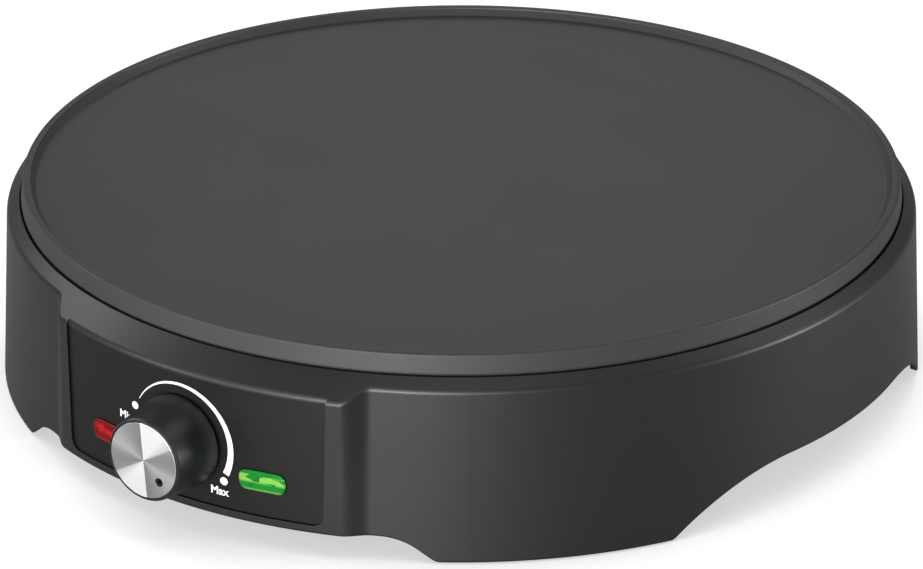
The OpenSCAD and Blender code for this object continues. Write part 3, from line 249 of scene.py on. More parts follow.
class Bench:
    """The modelling operators, each acting on a chosen piece alone."""

    @staticmethod
    def choose(*chosen: bpy.types.Object) -> None:
        """Select some pieces and nothing else, in object mode.

        Args:
            *chosen: The pieces, the active one first.
        """
        if bpy.context.mode != "OBJECT":
            bpy.ops.object.mode_set(mode="OBJECT")
        bpy.ops.object.select_all(action="DESELECT")
        for piece in chosen:
            piece.select_set(True)
        bpy.context.view_layer.objects.active = chosen[0] if chosen else None

    @classmethod
    def edit(cls, piece: bpy.types.Object, kind: str = "VERT",
             action: str = "DESELECT") -> bmesh.types.BMesh:
        """Open a piece in edit mode.

        Args:
            piece: The piece to edit.
            kind: What is selected, VERT, EDGE or FACE.
            action: SELECT for all of it, DESELECT for nothing.

        Returns:
            The mesh being edited.
        """
        cls.choose(piece)
        bpy.ops.object.mode_set(mode="EDIT")
        bpy.ops.mesh.select_mode(type=kind)
        bpy.ops.mesh.select_all(action=action)
        return bmesh.from_edit_mesh(piece.data)

    @staticmethod
    def close() -> None:
        """Go back to object mode."""
        bpy.ops.object.mode_set(mode="OBJECT")

    @staticmethod
    def name(piece: bpy.types.Object, name: str) -> bpy.types.Object:
        """Name a piece and its mesh.

        Args:
            piece: The piece.
            name: Its new name.

        Returns:
            The piece.
        """
        piece.name = name
        piece.data.name = name
        return piece

    @staticmethod
    def set_down(piece: bpy.types.Object) -> bpy.types.Object:
        """Move a piece's place and turn into its mesh, and return it."""
        bpy.ops.object.transform_apply(location=True, rotation=True, scale=True)
        return piece

    @classmethod
    def apply(cls, piece: bpy.types.Object, kind: str, **settings: object) -> None:
        """Run a modifier over a piece.

        Args:
            piece: The piece.
            kind: The modifier's type.
            **settings: What is set on it.
        """
        cls.choose(piece)
        change = piece.modifiers.new(kind.lower(), kind)
        for key, value in settings.items():
            setattr(change, key, value)
        bpy.ops.object.modifier_apply(modifier=change.name)

    @classmethod
    def chain(cls, name: str, points: Sequence[Vector], closed: bool = False) -> bpy.types.Object:
        """Draw a line by extruding one vertex from point to point.

        Args:
            name: The new piece's name.
            points: The line's points.
            closed: Whether its end joins its start.

        Returns:
            The new piece, still in edit mode with its line selected.
        """
        cls.choose()
        bpy.ops.mesh.primitive_plane_add(size=MM)
        piece = cls.name(bpy.context.object, name)
        cls.edit(piece, action="SELECT")
        bpy.ops.mesh.merge(type="CENTER")
        bpy.ops.transform.translate(value=points[0] * MM)
        path = list(points) + ([points[0]] if closed else [])
        for here, there in zip(path, path[1:]):
            bpy.ops.mesh.extrude_region_move(TRANSFORM_OT_translate={"value": (there - here) * MM})
        bpy.ops.mesh.select_all(action="SELECT")
        if closed:
            bpy.ops.mesh.remove_doubles(threshold=1e-7)
        return piece

    @classmethod
    def lathe(cls, name: str, profile: Sequence[Pair], axis: Axis, steps: int,
              closed: bool = False) -> bpy.types.Object:
        """Spin a profile once round an axis.

        Args:
            name: The new piece's name.
            profile: Points as (distance from the axis, distance along it).
            axis: The line it is spun about.
            steps: The number of steps in the turn.
            closed: Whether the profile is a closed section.

        Returns:
            The turned piece.
        """
        piece = cls.chain(name, [axis.place(p) for p in profile], closed)
        bpy.ops.mesh.spin(steps=steps, angle=2 * math.pi, center=axis.centre * MM, axis=axis.along)
        return cls.settle(piece)

    @classmethod
    def sector(cls, name: str, section: Sequence[Pair], start: float, sweep: float,
               steps: int) -> bpy.types.Object:
        """Spin a filled section part of a turn about the hotplate's axis.

        Args:
            name: The new piece's name.
            section: Points as (distance from the axis, height).
            start: The angle it starts at, counted from +X towards +Y.
            sweep: The angle it takes up.
            steps: The number of steps in the turn.

        Returns:
            The closed sector.
        """
        end = Axis(outwards=around(start + sweep))
        piece = cls.chain(name, [end.place(p) for p in section], closed=True)
        bpy.ops.mesh.edge_face_add()
        bpy.ops.mesh.spin(steps=steps, angle=math.radians(sweep), center=ORIGIN, axis=UP)
        return cls.settle(piece)

    @classmethod
    def block(cls, name: str, outline: Sequence[Vector], depth: Vector) -> bpy.types.Object:
        """Fill a flat outline and extrude it.

        Args:
            name: The new piece's name.
            outline: The outline's points.
            depth: The direction and length of the extrusion.

        Returns:
            The closed block.
        """
        piece = cls.chain(name, outline, closed=True)
        bpy.ops.mesh.edge_face_add()
        bpy.ops.mesh.extrude_region_move(TRANSFORM_OT_translate={"value": depth * MM})
        return cls.settle(piece)

    @classmethod
    def drill(cls, piece: bpy.types.Object, radius: float, height: float, run: Pair) -> None:
        """Bore a level hole along Y, on the middle line of the object.

        Args:
            piece: The piece that is drilled.
            radius: The hole's radius.
            height: The height of its axis.
            run: Where along Y it starts and ends.
        """
        cls.choose()
        bpy.ops.mesh.primitive_cylinder_add(
            vertices=64, radius=radius * MM, depth=(run[1] - run[0]) * MM, rotation=(math.pi / 2, 0, 0),
            location=(0, (run[0] + run[1]) / 2 * MM, height * MM))
        cls.combine(piece, bpy.context.object)

    @classmethod
    def settle(cls, piece: bpy.types.Object, gap: float = 0.002) -> bpy.types.Object:
        """Merge a piece's doubles, then turn its faces outwards.

        Args:
            piece: The piece.
            gap: The distance under which points merge.

        Returns:
            The piece, in object mode.
        """
        cls.edit(piece, action="SELECT")
        bpy.ops.mesh.remove_doubles(threshold=gap * MM)
        bpy.ops.mesh.normals_make_consistent(inside=False)
        cls.close()
        return piece

    @classmethod
    def combine(cls, piece: bpy.types.Object, tool: bpy.types.Object, cut: Cut = Cut.AWAY) -> None:
        """Cut a piece with a tool, and use the tool up.

        Args:
            piece: The piece that stays.
            tool: The solid that is used up.
            cut: What is done with it.
        """
        cls.apply(piece, "BOOLEAN", operation=cut.value, solver="EXACT", object=tool)
        bpy.data.objects.remove(tool)

    @classmethod
    def join(cls, name: str, pieces: Sequence[bpy.types.Object]) -> bpy.types.Object:
        """Make several pieces one object.

        Args:
            name: The object's name.
            pieces: What is joined.

        Returns:
            The one object.
        """
        cls.choose(*pieces)
        bpy.ops.object.join()
        return cls.name(pieces[0], name)

    @classmethod
    def ease(cls, piece: bpy.types.Object, width: float, where: Callable[[Vector], bool],
             segments: int = 2, sharper_than: float = 40) -> None:
        """Round a piece's sharp edges.

        Args:
            piece: The piece.
            width: The width of the rounding.
            where: Tells from an edge's middle whether it is rounded.
            segments: The number of facets in the rounding.
            sharper_than: The least angle of an edge that is rounded.
        """
        cls.edit(piece, "EDGE")
        bpy.ops.mesh.edges_select_sharp(sharpness=math.radians(sharper_than))
        mesh = bmesh.from_edit_mesh(piece.data)
        for edge in mesh.edges:
            middle = (edge.verts[0].co + edge.verts[1].co) / (2 * MM)
            if edge.select and not where(middle):
                edge.select_set(False)
        bmesh.update_edit_mesh(piece.data)
        bpy.ops.mesh.bevel(offset=width * MM, segments=segments, affect="EDGES", clamp_overlap=True)
        cls.close()

    @classmethod
    def shape(cls, piece: bpy.types.Object, rule: Callable[[Vector], Pair]) -> None:
        """Scale vertices from the z axis and lift them, those that share a move together.

        Args:
            piece: The piece.
            rule: Gives each vertex its scale from the axis and its lift.
        """
        mesh = cls.edit(piece)
        groups: dict[Pair, list[int]] = {}
        for vertex in mesh.verts:
            scale, lift = rule(vertex.co / MM)
            if abs(scale - 1) > 1e-6 or abs(lift) > 1e-4:
                groups.setdefault((round(scale, 6), round(lift, 4)), []).append(vertex.index)
        for (scale, lift), members in groups.items():
            bpy.ops.mesh.select_all(action="DESELECT")
            mesh.verts.ensure_lookup_table()
            for index in members:
                mesh.verts[index].select_set(True)
            if scale != 1:
                bpy.ops.transform.resize(value=(scale, scale, 1), center_override=(0, 0, 0))
            if lift:
                bpy.ops.transform.translate(value=UP * lift * MM)
        cls.close()

    @classmethod
    def finish(cls, piece: bpy.types.Object, angle: float = 32) -> bpy.types.Object:
        """Shade a piece smooth up to an angle, and weigh its normals by the faces' sizes.

        Args:
            piece: The piece.
            angle: The angle above which an edge stays sharp.

        Returns:
            The piece.
        """
        cls.choose(piece)
        bpy.ops.object.shade_smooth_by_angle(angle=math.radians(angle))
        cls.apply(piece, "WEIGHTED_NORMAL", keep_sharp=True, weight=60)
        return piece

    @classmethod
    def turned_copy(cls, piece: bpy.types.Object, name: str, angle: float) -> bpy.types.Object:
        """Copy a piece with its own mesh, turned about the hotplate's axis.

        Args:
            piece: The piece to copy.
            name: The copy's name.
            angle: The turn in degrees.

        Returns:
            The copy, at the origin and unturned, with its place in its mesh.
        """
        cls.choose(piece)
        bpy.ops.object.duplicate(linked=False)
        copy = cls.name(bpy.context.object, name)
        copy.rotation_euler.z = math.radians(angle)
        return cls.set_down(copy)


# Finishes ------------------------------------------------------------------


class Value:
    """A number in a material, which Python's operators work on."""

    def __init__(self, look: "Look", socket: bpy.types.NodeSocket) -> None:
        """Wrap an output socket of a look."""
        self.look = look
        self.socket = socket

    def _math(self, operation: str, *terms: "Value | float") -> "Value":
        """Add a Math node over the given terms and return its result."""
        node = self.look.node("ShaderNodeMath", {"operation": operation}, dict(enumerate(terms)))
        return Value(self.look, node.outputs[0])

    def __add__(self, other: "Value | float") -> "Value":
        """Add."""
        return self._math("ADD", self, other)

    __radd__ = __add__

    def __sub__(self, other: "Value | float") -> "Value":
        """Subtract."""
        return self._math("SUBTRACT", self, other)

    def __rsub__(self, other: float) -> "Value":
        """Subtract from a number."""
        return self._math("SUBTRACT", other, self)

    def __mul__(self, other: "Value | float") -> "Value":
        """Multiply."""
        return self._math("MULTIPLY", self, other)

    __rmul__ = __mul__

    def __truediv__(self, other: "Value | float") -> "Value":
        """Divide."""
        return self._math("DIVIDE", self, other)

    def __rtruediv__(self, other: float) -> "Value":
        """Divide a number."""
        return self._math("DIVIDE", other, self)

    def __pow__(self, other: float) -> "Value":
        """Raise to a power."""
        return self._math("POWER", self, other)

    def sine(self) -> "Value":
        """Return the sine."""
        return self._math("SINE", self)

    def part(self) -> "Value":
        """Return what is left after the whole number."""
        return self._math("FRACT", self)

    def angle_from(self, other: "Value") -> "Value":
        """Return the angle whose tangent is this over the other."""
        return self._math("ARCTAN2", self, other)

    def distance(self, other: "Value") -> "Value":
        """Return the length of the two taken as sides at right angles."""
        return (self * self + other * other) ** 0.5

    def fade(self, low: float, high: float) -> "Value":
        """Return nought below one value and one above the other, smooth between."""
        node = self.look.node("ShaderNodeMapRange", {"interpolation_type": "SMOOTHSTEP"},
                              {"Value": self, "From Min": low, "From Max": high})
        return Value(self.look, node.outputs["Result"])


class Look:
    """The nodes of a procedural material, or of the world."""

    def __init__(self, owner: bpy.types.Material | bpy.types.World) -> None:
        """Empty the owner's node tree.

        Args:
            owner: The material or world that the nodes are for.
        """
        self.owner = owner
        owner.use_nodes = True
        self.tree = owner.node_tree
        self.tree.nodes.clear()

    def node(self, kind: str, settings: dict[str, object] | None = None,
             inputs: dict[int | str, object] | None = None) -> bpy.types.Node:
        """Add one node.

        Args:
            kind: The node's type.
            settings: What is set on it first; "stops" are a colour ramp's.
            inputs: A value or a link for each input socket.

        Returns:
            The node.
        """
        node = self.tree.nodes.new(kind)
        for key, value in (settings or {}).items():
            if key == "stops":
                self._stops(node.color_ramp, value)
            else:
                setattr(node, key, value)
        for key, value in (inputs or {}).items():
            source = value.socket if isinstance(value, Value) else value
            if isinstance(source, bpy.types.NodeSocket):
                self.tree.links.new(source, node.inputs[key])
            else:
                node.inputs[key].default_value = source
        return node

    @staticmethod
    def _stops(ramp: bpy.types.ColorRamp, stops: Sequence[Pair]) -> None:
        """Set a colour ramp's stops.

        Args:
            ramp: The ramp.
            stops: Each stop's position and its shade of grey.
        """
        while len(ramp.elements) < len(stops):
            ramp.elements.new(1.0)
        for element, (position, grey) in zip(ramp.elements, stops):
            element.position = position
            element.color = (grey, grey, grey, 1)

    def place(self) -> bpy.types.NodeSocket:
        """Return the point on the piece, in metres."""
        return self.node("ShaderNodeTexCoord").outputs["Object"]

    def along(self, axis: str) -> Value:
        """Return one coordinate of the point, X, Y or Z."""
        parts = self.node("ShaderNodeSeparateXYZ", None, {0: self.place()})
        return Value(self, parts.outputs[axis])

    def stretched(self, scale: Triple) -> bpy.types.NodeSocket:
        """Return the point on the piece, scaled along each axis."""
        return self.node("ShaderNodeMapping", None, {"Vector": self.place(), "Scale": scale}).outputs[0]

    def noise(self, size: float, detail: float = 3, stretch: Triple = (1, 1, 1)) -> Value:
        """Return a soft noise.

        Args:
            size: The size of its blotches in millimetres.
            detail: How much finer noise lies on it.
            stretch: The scale along each axis.

        Returns:
            The noise, from nought to one.
        """
        point = self.place() if stretch == (1, 1, 1) else self.stretched(stretch)
        node = self.node("ShaderNodeTexNoise", None, {
            "Vector": point, "Scale": 1 / (size * MM), "Detail": detail, "Roughness": 0.55})
        return Value(self, node.outputs[0])

    def blend(self, factor: Value, low: object, high: object) -> bpy.types.NodeSocket:
        """Return a colour between two.

        Args:
            factor: Nought for the first colour, one for the second.
            low: The first, a colour or a link.
            high: The second.

        Returns:
            The colour's socket.
        """
        def full(colour: object) -> object:
            """Give a plain colour its fourth number."""
            return (*colour, 1) if isinstance(colour, tuple) else colour

        node = self.node("ShaderNodeMix", {"data_type": "RGBA"},
                         {"Factor": factor, 6: full(low), 7: full(high)})
        return node.outputs[2]

    def bump(self, height: Value, depth: float, strength: float = 1.0) -> bpy.types.NodeSocket:
        """Return a normal disturbed by a height, whose full range is depth millimetres."""
        return self.node("ShaderNodeBump", None,
                         {"Height": height, "Distance": depth * MM, "Strength": strength}).outputs[0]

    def surface(self, **inputs: object) -> bpy.types.Material:
        """Close the material with a principled shader.

        Args:
            **inputs: The shader's sockets, an underscore for each space.

        Returns:
            The finished material.
        """
        named = {key.replace("_", " "): value for key, value in inputs.items()}
        shader = self.node("ShaderNodeBsdfPrincipled", None, named)
        self.node("ShaderNodeOutputMaterial", None, {"Surface": shader.outputs[0]})
        return self.owner


def grey(level: float) -> Colour:
    """Return a plain grey."""
    return (level, level, level)


def shade(colour: Colour, by: float) -> Colour:
    """Return a colour made lighter or darker by a factor."""
    return (min(colour[0] * by, 1), min(colour[1] * by, 1), min(colour[2] * by, 1))


@dataclass(frozen=True)
class Finish:
    """A surface: its colour and gloss, and the grain that breaks both up."""

    name: str
    colour: Colour
    roughness: float
    metallic: float = 0.0
    specular: float = 0.5
    grain: float = 0.5
    depth: float = 0.006
    mottle: float = 0.08
    blotch: float = 30
    stretch: Triple = (1, 1, 1)
    broad_tone: float = 0.65
    broad_gloss: float = 0.08
    fine_gloss: float = 0.1

    def start(self) -> Look:
        """Return the empty material."""
        return Look(bpy.data.materials.new(self.name))

    def mottled(self, look: Look, tone: Value) -> bpy.types.NodeSocket:
        """Return the colour, a little darker and lighter from place to place."""
        return look.blend(tone, shade(self.colour, 1 - self.mottle), shade(self.colour, 1 + self.mottle))

    def make(self) -> bpy.types.Material:
        """Build the material.

        Returns:
            The material.
        """
        look = self.start()
        fine = look.noise(self.grain, 2, self.stretch)
        broad = look.noise(self.blotch)
        return look.surface(
            Base_Color=self.mottled(look, broad * self.broad_tone + fine * (1 - self.broad_tone)),
            Roughness=self.roughness + (broad - 0.5) * self.broad_gloss + (fine - 0.5) * self.fine_gloss,
            Metallic=self.metallic,
            Specular_IOR_Level=self.specular,
            Normal=look.bump(fine, self.depth))


@dataclass(frozen=True)
class Coating(Finish):
    """A non-stick coating: nearly even, with fine light specks and a faint orange peel."""

    broad_gloss: float = 0.06
    speck: float = 0.35
    speck_fade: Pair = (0.62, 0.72)
    speck_share: float = 0.2
    speck_shade: float = 1.9
    speck_gloss: float = 0.08

    def make(self) -> bpy.types.Material:
        """Build the material.

        Returns:
            The material.
        """
        look = self.start()
        broad = look.noise(self.blotch, 2)
        fine = look.noise(self.grain, 2)
        specks = look.noise(self.speck, 1).fade(*self.speck_fade)
        return look.surface(
            Base_Color=look.blend(specks * self.speck_share, self.mottled(look, broad),
                                  shade(self.colour, self.speck_shade)),
            Roughness=self.roughness + (broad - 0.5) * self.broad_gloss - specks * self.speck_gloss,
            Specular_IOR_Level=self.specular,
            Normal=look.bump(fine, self.depth))


@dataclass(frozen=True)
class SpunDisc(Finish):
    """A spun metal disc: a painted reflection of light and dark wedges from its middle, and fine turned
    rings.
    """

    divide: float = 5  # turn of the line between the two halves, in degrees
    ring_pitch: float = 0.32
    ring_share: float = 0.14
    ring_strength: float = 0.6
    streak: float = 0.8
    streak_share: float = 0.16
    streak_shade: float = 0.75
    streak_gloss: float = 0.1
    dimple_edge: Pair = (0.86, 1.0)
    dimple_middle: Pair = (0.3, 0.6)
    dimple_shade_tones: Pair = (0.03, 0.006)  # painted shade in the dimple: edge, middle
    dimple_dull: float = 0.4
    # Places in half a turn, each with the brightness of the painted reflection there.
    reflection_wedges: tuple[Pair, ...] = (
        (0.0, 1.0), (0.24, 1.0), (0.34, 0.74), (0.37, 0.3), (0.46, 0.24), (0.56, 0.3),
        (0.64, 0.5), (0.7, 0.46), (0.82, 0.32), (0.93, 0.24), (1.0, 0.2))

    def make(self) -> bpy.types.Material:
        """Build the material.

        Returns:
            The material.
        """
        look = self.start()
        right = look.along("X")
        up = look.along("Z") - KNOB_HEIGHT * MM
        turn = (right.angle_from(up) + math.radians(self.divide)) / math.pi + 2
        # The wedges are a painted reflection: light and dark round the knob's axis, in the base colour.
        reflection_wedge = look.node("ShaderNodeValToRGB", {"stops": self.reflection_wedges}, {0: turn.part()})
        rings = (right.distance(up) * (2 * math.pi / (self.ring_pitch * MM))).sine() * 0.5 + 0.5
        streaks = look.noise(self.streak)
        across, above = DIMPLE.offset
        off = (right - across * MM).distance(up - above * MM)
        inside, middle = (1 - off.fade(low * DIMPLE.radius * MM, high * DIMPLE.radius * MM)
                          for low, high in (self.dimple_edge, self.dimple_middle))
        metal = look.blend(rings * self.ring_share + streaks * self.streak_share, reflection_wedge.outputs[0],
                           shade(self.colour, self.streak_shade))
        # The dimple is darkened, darkest in its middle: painted shade in the hollow.
        outer_shade, inner_shade = self.dimple_shade_tones
        return look.surface(
            Base_Color=look.blend(inside, metal, look.blend(middle, grey(outer_shade), grey(inner_shade))),
            Metallic=self.metallic,
            Roughness=self.roughness + (streaks - 0.5) * self.streak_gloss + inside * self.dimple_dull,
            Specular_IOR_Level=self.specular,
            Normal=look.bump(rings, self.depth, self.ring_strength))


@dataclass(frozen=True)
class LampLens(Finish):
    """A clear coloured lens with facets inside, with painted light: painted highlights on some facets in
    its upper half and along its lower edge, painted shade between the facets and round its rim.

    Heights in it run from -1 at the lens's lower edge to 1 at its upper edge.
    """

    specular: float = 0.12
    depth: float = 0.05
    side: int = 1
    shade_colour: Colour = (0.0, 0.1, 0.02)
    bright: Colour = (0.4, 0.9, 0.1)
    glow: float = 0.0
    facet: float = 3.0
    squash: Triple = (0.62, 0.62, 1.3)
    scatter: float = 0.7
    shadow: Pair = (0.3, 0.8)
    shadow_share: float = 0.7
    highlight_pick: Pair = (0.3, 0.5)  # which facets get the painted highlight
    highlight_row_from: Pair = (-0.3, 0.05)
    highlight_row_to: Pair = (0.5, 0.72)
    highlight_row_share: float = 0.85
    lip_highlight_from: Pair = (-1.0, -0.9)
    lip_highlight_to: Pair = (-0.88, -0.62)
    lip_highlight_share: float = 0.45
    rim: Pair = (0.75, 0.3)  # painted shade up to the first depth behind the front, none from the second
    rim_shadow: float = 0.12
    coat: float = 0.06
    coat_roughness: float = 0.1

    def make(self) -> bpy.types.Material:
        """Build the material.

        Returns:
            The material.
        """
        look = self.start()
        cells = look.node("ShaderNodeTexVoronoi", {"feature": "F1", "distance": "CHEBYCHEV"}, {
            "Vector": look.stretched(self.squash), "Scale": 1 / (self.facet * MM),
            "Randomness": self.scatter})
        shadow = Value(look, cells.outputs["Distance"]).fade(*self.shadow)
        parts = look.node("ShaderNodeSeparateColor", None, {0: cells.outputs["Color"]})
        pick = Value(look, parts.outputs[0])
        up = (look.along("Z") - LENS.height * MM) / (LENS.tall / 2 * MM)
        # Painted highlights: a row of bright facets in the upper half, and a pale lip along the lower edge.
        highlight_row = up.fade(*self.highlight_row_from) * (1 - up.fade(*self.highlight_row_to))
        lip = (1 - up.fade(*self.lip_highlight_to)) * up.fade(*self.lip_highlight_from)
        facets = look.blend(shadow * self.shadow_share, self.colour, self.shade_colour)
        highlighted = look.blend(pick.fade(*self.highlight_pick) * highlight_row * self.highlight_row_share, facets, self.bright)
        lip_highlighted = look.blend(lip * self.lip_highlight_share, highlighted, self.bright)
        direction = LENS.out(self.side)
        out = look.along("X") * direction.x + look.along("Y") * direction.y
        # Painted shade round the rim: the lens is dark further than a depth behind its front.
        face = out.fade(*((LENS.front - behind) * MM for behind in self.rim))
        with_painted_light = look.blend(face, shade(self.shade_colour, self.rim_shadow), lip_highlighted)
        return look.surface(
            Base_Color=with_painted_light,
            Roughness=self.roughness,
            Specular_IOR_Level=self.specular,
            Coat_Weight=self.coat,
            Coat_Roughness=self.coat_roughness,
            Emission_Color=with_painted_light,
            Emission_Strength=self.glow,
            Normal=look.bump(shadow, self.depth))


PLATE = Coating("plate_coating", (0.028, 0.028, 0.0283), 0.5, specular=0.4, grain=0.6, depth=0.008,
                mottle=0.05, blotch=60)
HOUSING = Finish("housing_plastic", (0.005, 0.005, 0.0051), 0.43, grain=0.35, depth=0.005, mottle=0.07,
                 blotch=45)
FASCIA = Finish("fascia_plastic", (0.003, 0.003, 0.0031), 0.45, specular=0.3, grain=0.3, depth=0.002,
                mottle=0.05)
KNOB = Finish("knob_plastic", (0.002, 0.002, 0.0021), 0.45, specular=0.6, grain=0.25, depth=0.004,
              mottle=0.06, blotch=12)
CAP = SpunDisc("spun_aluminium", grey(0.9), 0.45, metallic=1.0, depth=0.002)
RED_LENS = LampLens("red_lens", (0.13, 0.001, 0.002), 0.3, side=-1, shade_colour=(0.06, 0.001, 0.001),
                    bright=(0.3, 0.008, 0.012), glow=0.1)
GREEN_LENS = LampLens("green_lens", (0.006, 0.15, 0.02), 0.3, shade_colour=(0.002, 0.07, 0.012),
                      bright=(0.17, 0.4, 0.06), glow=0.2, facet=2.4)
INK = Finish("dial_ink", (0.86, 0.86, 0.85), 0.55, specular=0.3, grain=0.2, depth=0.001, mottle=0.03)
RUBBER = Finish("rubber", grey(0.018), 0.75, specular=0.3, grain=0.3, depth=0.01, mottle=0.12)
HOLDER = Finish("holder_plastic", (0.72, 0.72, 0.68), 0.5, grain=0.6, mottle=0.04)

# The finish of each material slot that the frame's own nodes have.
INNER: dict[str, Finish] = {"coated_plate": PLATE} | {finish.name: finish for finish in (
    HOUSING, HOLDER, RUBBER,
    Finish("cover_plastic", grey(0.03), 0.55, specular=0.35, depth=0.01),
    Finish("lamp_glass", (0.8, 0.7, 0.6), 0.08, specular=0.7, grain=2, depth=0.002),
    Finish("element_steel", (0.33, 0.3, 0.27), 0.42, 0.9, grain=0.8, mottle=0.2, blotch=14),
    Finish("ceramic", (0.8, 0.77, 0.7), 0.6, depth=0.01, mottle=0.05),
    Finish("spring_steel", grey(0.55), 0.3, 1.0, grain=0.4, stretch=(0.1, 1, 1)),
    Finish("screw_steel", (0.56, 0.56, 0.54), 0.34, 1.0, mottle=0.1, blotch=5),
    Finish("shield_steel", (0.56, 0.57, 0.58), 0.38, 1.0, grain=1.5, mottle=0.1),
    Finish("brass", (0.7, 0.5, 0.22), 0.3, 1.0, mottle=0.1, blotch=6),
    Finish("bimetal", (0.36, 0.32, 0.27), 0.45, 0.9, mottle=0.15, blotch=6),
    Finish("brown_sleeve", (0.2, 0.09, 0.05), 0.5, grain=0.8, mottle=0.06),
    Finish("blue_sleeve", (0.05, 0.12, 0.35), 0.5, grain=0.8, mottle=0.06),
    Finish("green_sleeve", (0.22, 0.4, 0.06), 0.5, grain=0.8, mottle=0.06),
    Finish("white_sleeve", (0.62, 0.6, 0.54), 0.6, depth=0.02))}


class Store:
    """The finished materials, each made once."""

    def __init__(self) -> None:
        """Start with none."""
        self.made: dict[str, bpy.types.Material] = {}

    def dress(self, piece: bpy.types.Object, finish: Finish) -> None:
        """Give a whole piece one finish, whose material is made the first time.

        Args:
            piece: The piece.
            finish: Its finish.
        """
        if finish.name not in self.made:
            self.made[finish.name] = finish.make()
        piece.data.materials.clear()
        piece.data.materials.append(self.made[finish.name])


# The object ----------------------------------------------------------------


@dataclass
class Assembly:
    """What every part of the cooker has: the materials and the frame's nodes."""

    store: Store
    nodes: dict[str, bpy.types.Object]

    def hand_over(self, piece: bpy.types.Object, finish: Finish, slot: str,
                  stands_for: Sequence[str] = (), body: str = "base") -> None:
        """Dress a finished piece and tie it to the frame.

        Args:
            piece: The finished piece.
            finish: Its surface.
            slot: The name of a material slot; not used.
            stands_for: The frame's nodes that it replaces.
            body: The body that it rides on.
        """
        self.store.dress(piece, finish)
        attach(piece, body)
        if stands_for:
            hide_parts(*stands_for)
        log.info("%s: %d faces", piece.name, len(piece.data.polygons))


@dataclass(frozen=True)
class Boss:
    """A blind boss under the plate: its middle, lower end, radius, and its hole's radius and depth."""

    middle: Vector
    foot: float
    radius: float
    hole: float
    depth: float
    chamfer: float = 0.3
    ease: float = 0.4

    def make(self, top: float) -> bpy.types.Object:
        """Turn the boss.

        Args:
            top: The height of its upper end.

        Returns:
            The boss.
        """
        end = self.foot + self.depth
        profile = [(0, end), (self.hole, end), (self.hole, self.foot + self.chamfer),
                   (self.hole + self.chamfer, self.foot), (self.radius - self.ease, self.foot),
                   (self.radius, self.foot + self.ease), (self.radius, top), (0, top)]
        return Bench.lathe("boss", profile, Axis(self.middle), steps=32)


@dataclass
class Hotplate(Assembly):
    """The cast plate with its raised rim, and the ribs and bosses under it."""

    radius: float = 150.0
    rim_foot: float = 63.8
    rim_top: float = 70.6
    lean: float = 0.7
    land: float = 2.7
    step: float = 0.6
    step_lean: float = 0.15
    slope: float = 1.8
    face: float = 67.9
    under: float = 62.6
    skirt: Pair = (146.2, 149.2)  # inner and outer radius
    skirt_foot: float = 60.3
    rib_walls: tuple[Pair, ...] = ((88.75, 91.7), (98.3, 101.25))  # inner and outer radii
    rib_foot: float = 57.6
    rib_start: float = 116.0
    rib_sweep: float = 308.0
    root: float = 0.5
    spacer_boss: Boss = Boss(BACK * 134.54, 58.0, 6.5, 2.05, 3.6)
    spacer_turns: Pair = (120, 240)
    strap_rings: Pair = (82.75, 107.25)
    strap_angle: float = -14.0
    strap_turns: tuple[float, ...] = (64, 168, 232, 296)
    strap_boss: tuple[float, float, float, float] = (55.55, 3.6, 1.55, 4.6)  # foot, radius, hole, depth
    bracket_boss: Boss = Boss(FRONT * 126.2, 58.2, 6.0, 2.05, 3.4)
    fuse_boss: Boss = Boss(Vector((57, 44, 0)), 58.2, 4.0, 1.55, 3.4)

    def casting(self) -> bpy.types.Object:
        """Turn the plate with its rim, step and skirt.

        Returns:
            The plate.
        """
        top = self.radius - self.lean
        land = top - self.land
        inner = land - self.slope
        inside, outside = self.skirt
        profile = rounded([
            (0, self.under, 0), (inside, self.under, 1.2), (inside, self.skirt_foot, 0.3),
            (outside, self.skirt_foot, 0.2), (outside, self.rim_foot, 0), (self.radius, self.rim_foot, 0.3),
            (top, self.rim_top, 0.9), (land, self.rim_top, 0.25),
            (land - self.step_lean, self.rim_top - self.step, 0.18), (inner, self.face, 1.0),
            (0, self.face, 0)], 5)
        rings = [(inner * k / 4, self.face) for k in (3, 2, 1)]
        return Bench.lathe("hotplate_casting", profile[:-1] + rings + profile[-1:], PLATE_AXIS, steps=256)

    def ribs(self) -> list[bpy.types.Object]:
        """Spin the two ribs beside the element.

        Returns:
            The ribs.
        """
        foot, top = self.rib_foot, self.under + self.root
        return [Bench.sector("rib", [(inner, foot), (outer, foot), (outer, top), (inner, top)],
                             self.rib_start, self.rib_sweep, steps=110) for inner, outer in self.rib_walls]

    def bosses(self) -> list[bpy.types.Object]:
        """Turn the bosses of the spacers, the straps, the thermostat's bracket and the fuse.

        Returns:
            The bosses.
        """
        top = self.under + self.root
        spacer = self.spacer_boss.make(top)
        made = [spacer, *(Bench.turned_copy(spacer, "boss", turn) for turn in self.spacer_turns)]
        posts = [Boss(around(self.strap_angle, ring), *self.strap_boss).make(top)
                 for ring in self.strap_rings]
        made += posts
        made += [Bench.turned_copy(post, "boss", turn) for post in posts for turn in self.strap_turns]
        return made + [self.bracket_boss.make(top), self.fuse_boss.make(top)]

    def build(self) -> None:
        """Make the plate and tie it to the frame."""
        bosses = self.bosses()
        plate = Bench.join("hotplate_casting", [self.casting(), *self.ribs(), *bosses])
        self.hand_over(Bench.finish(plate, angle=30), PLATE, "coated_plate", ["hotplate"])


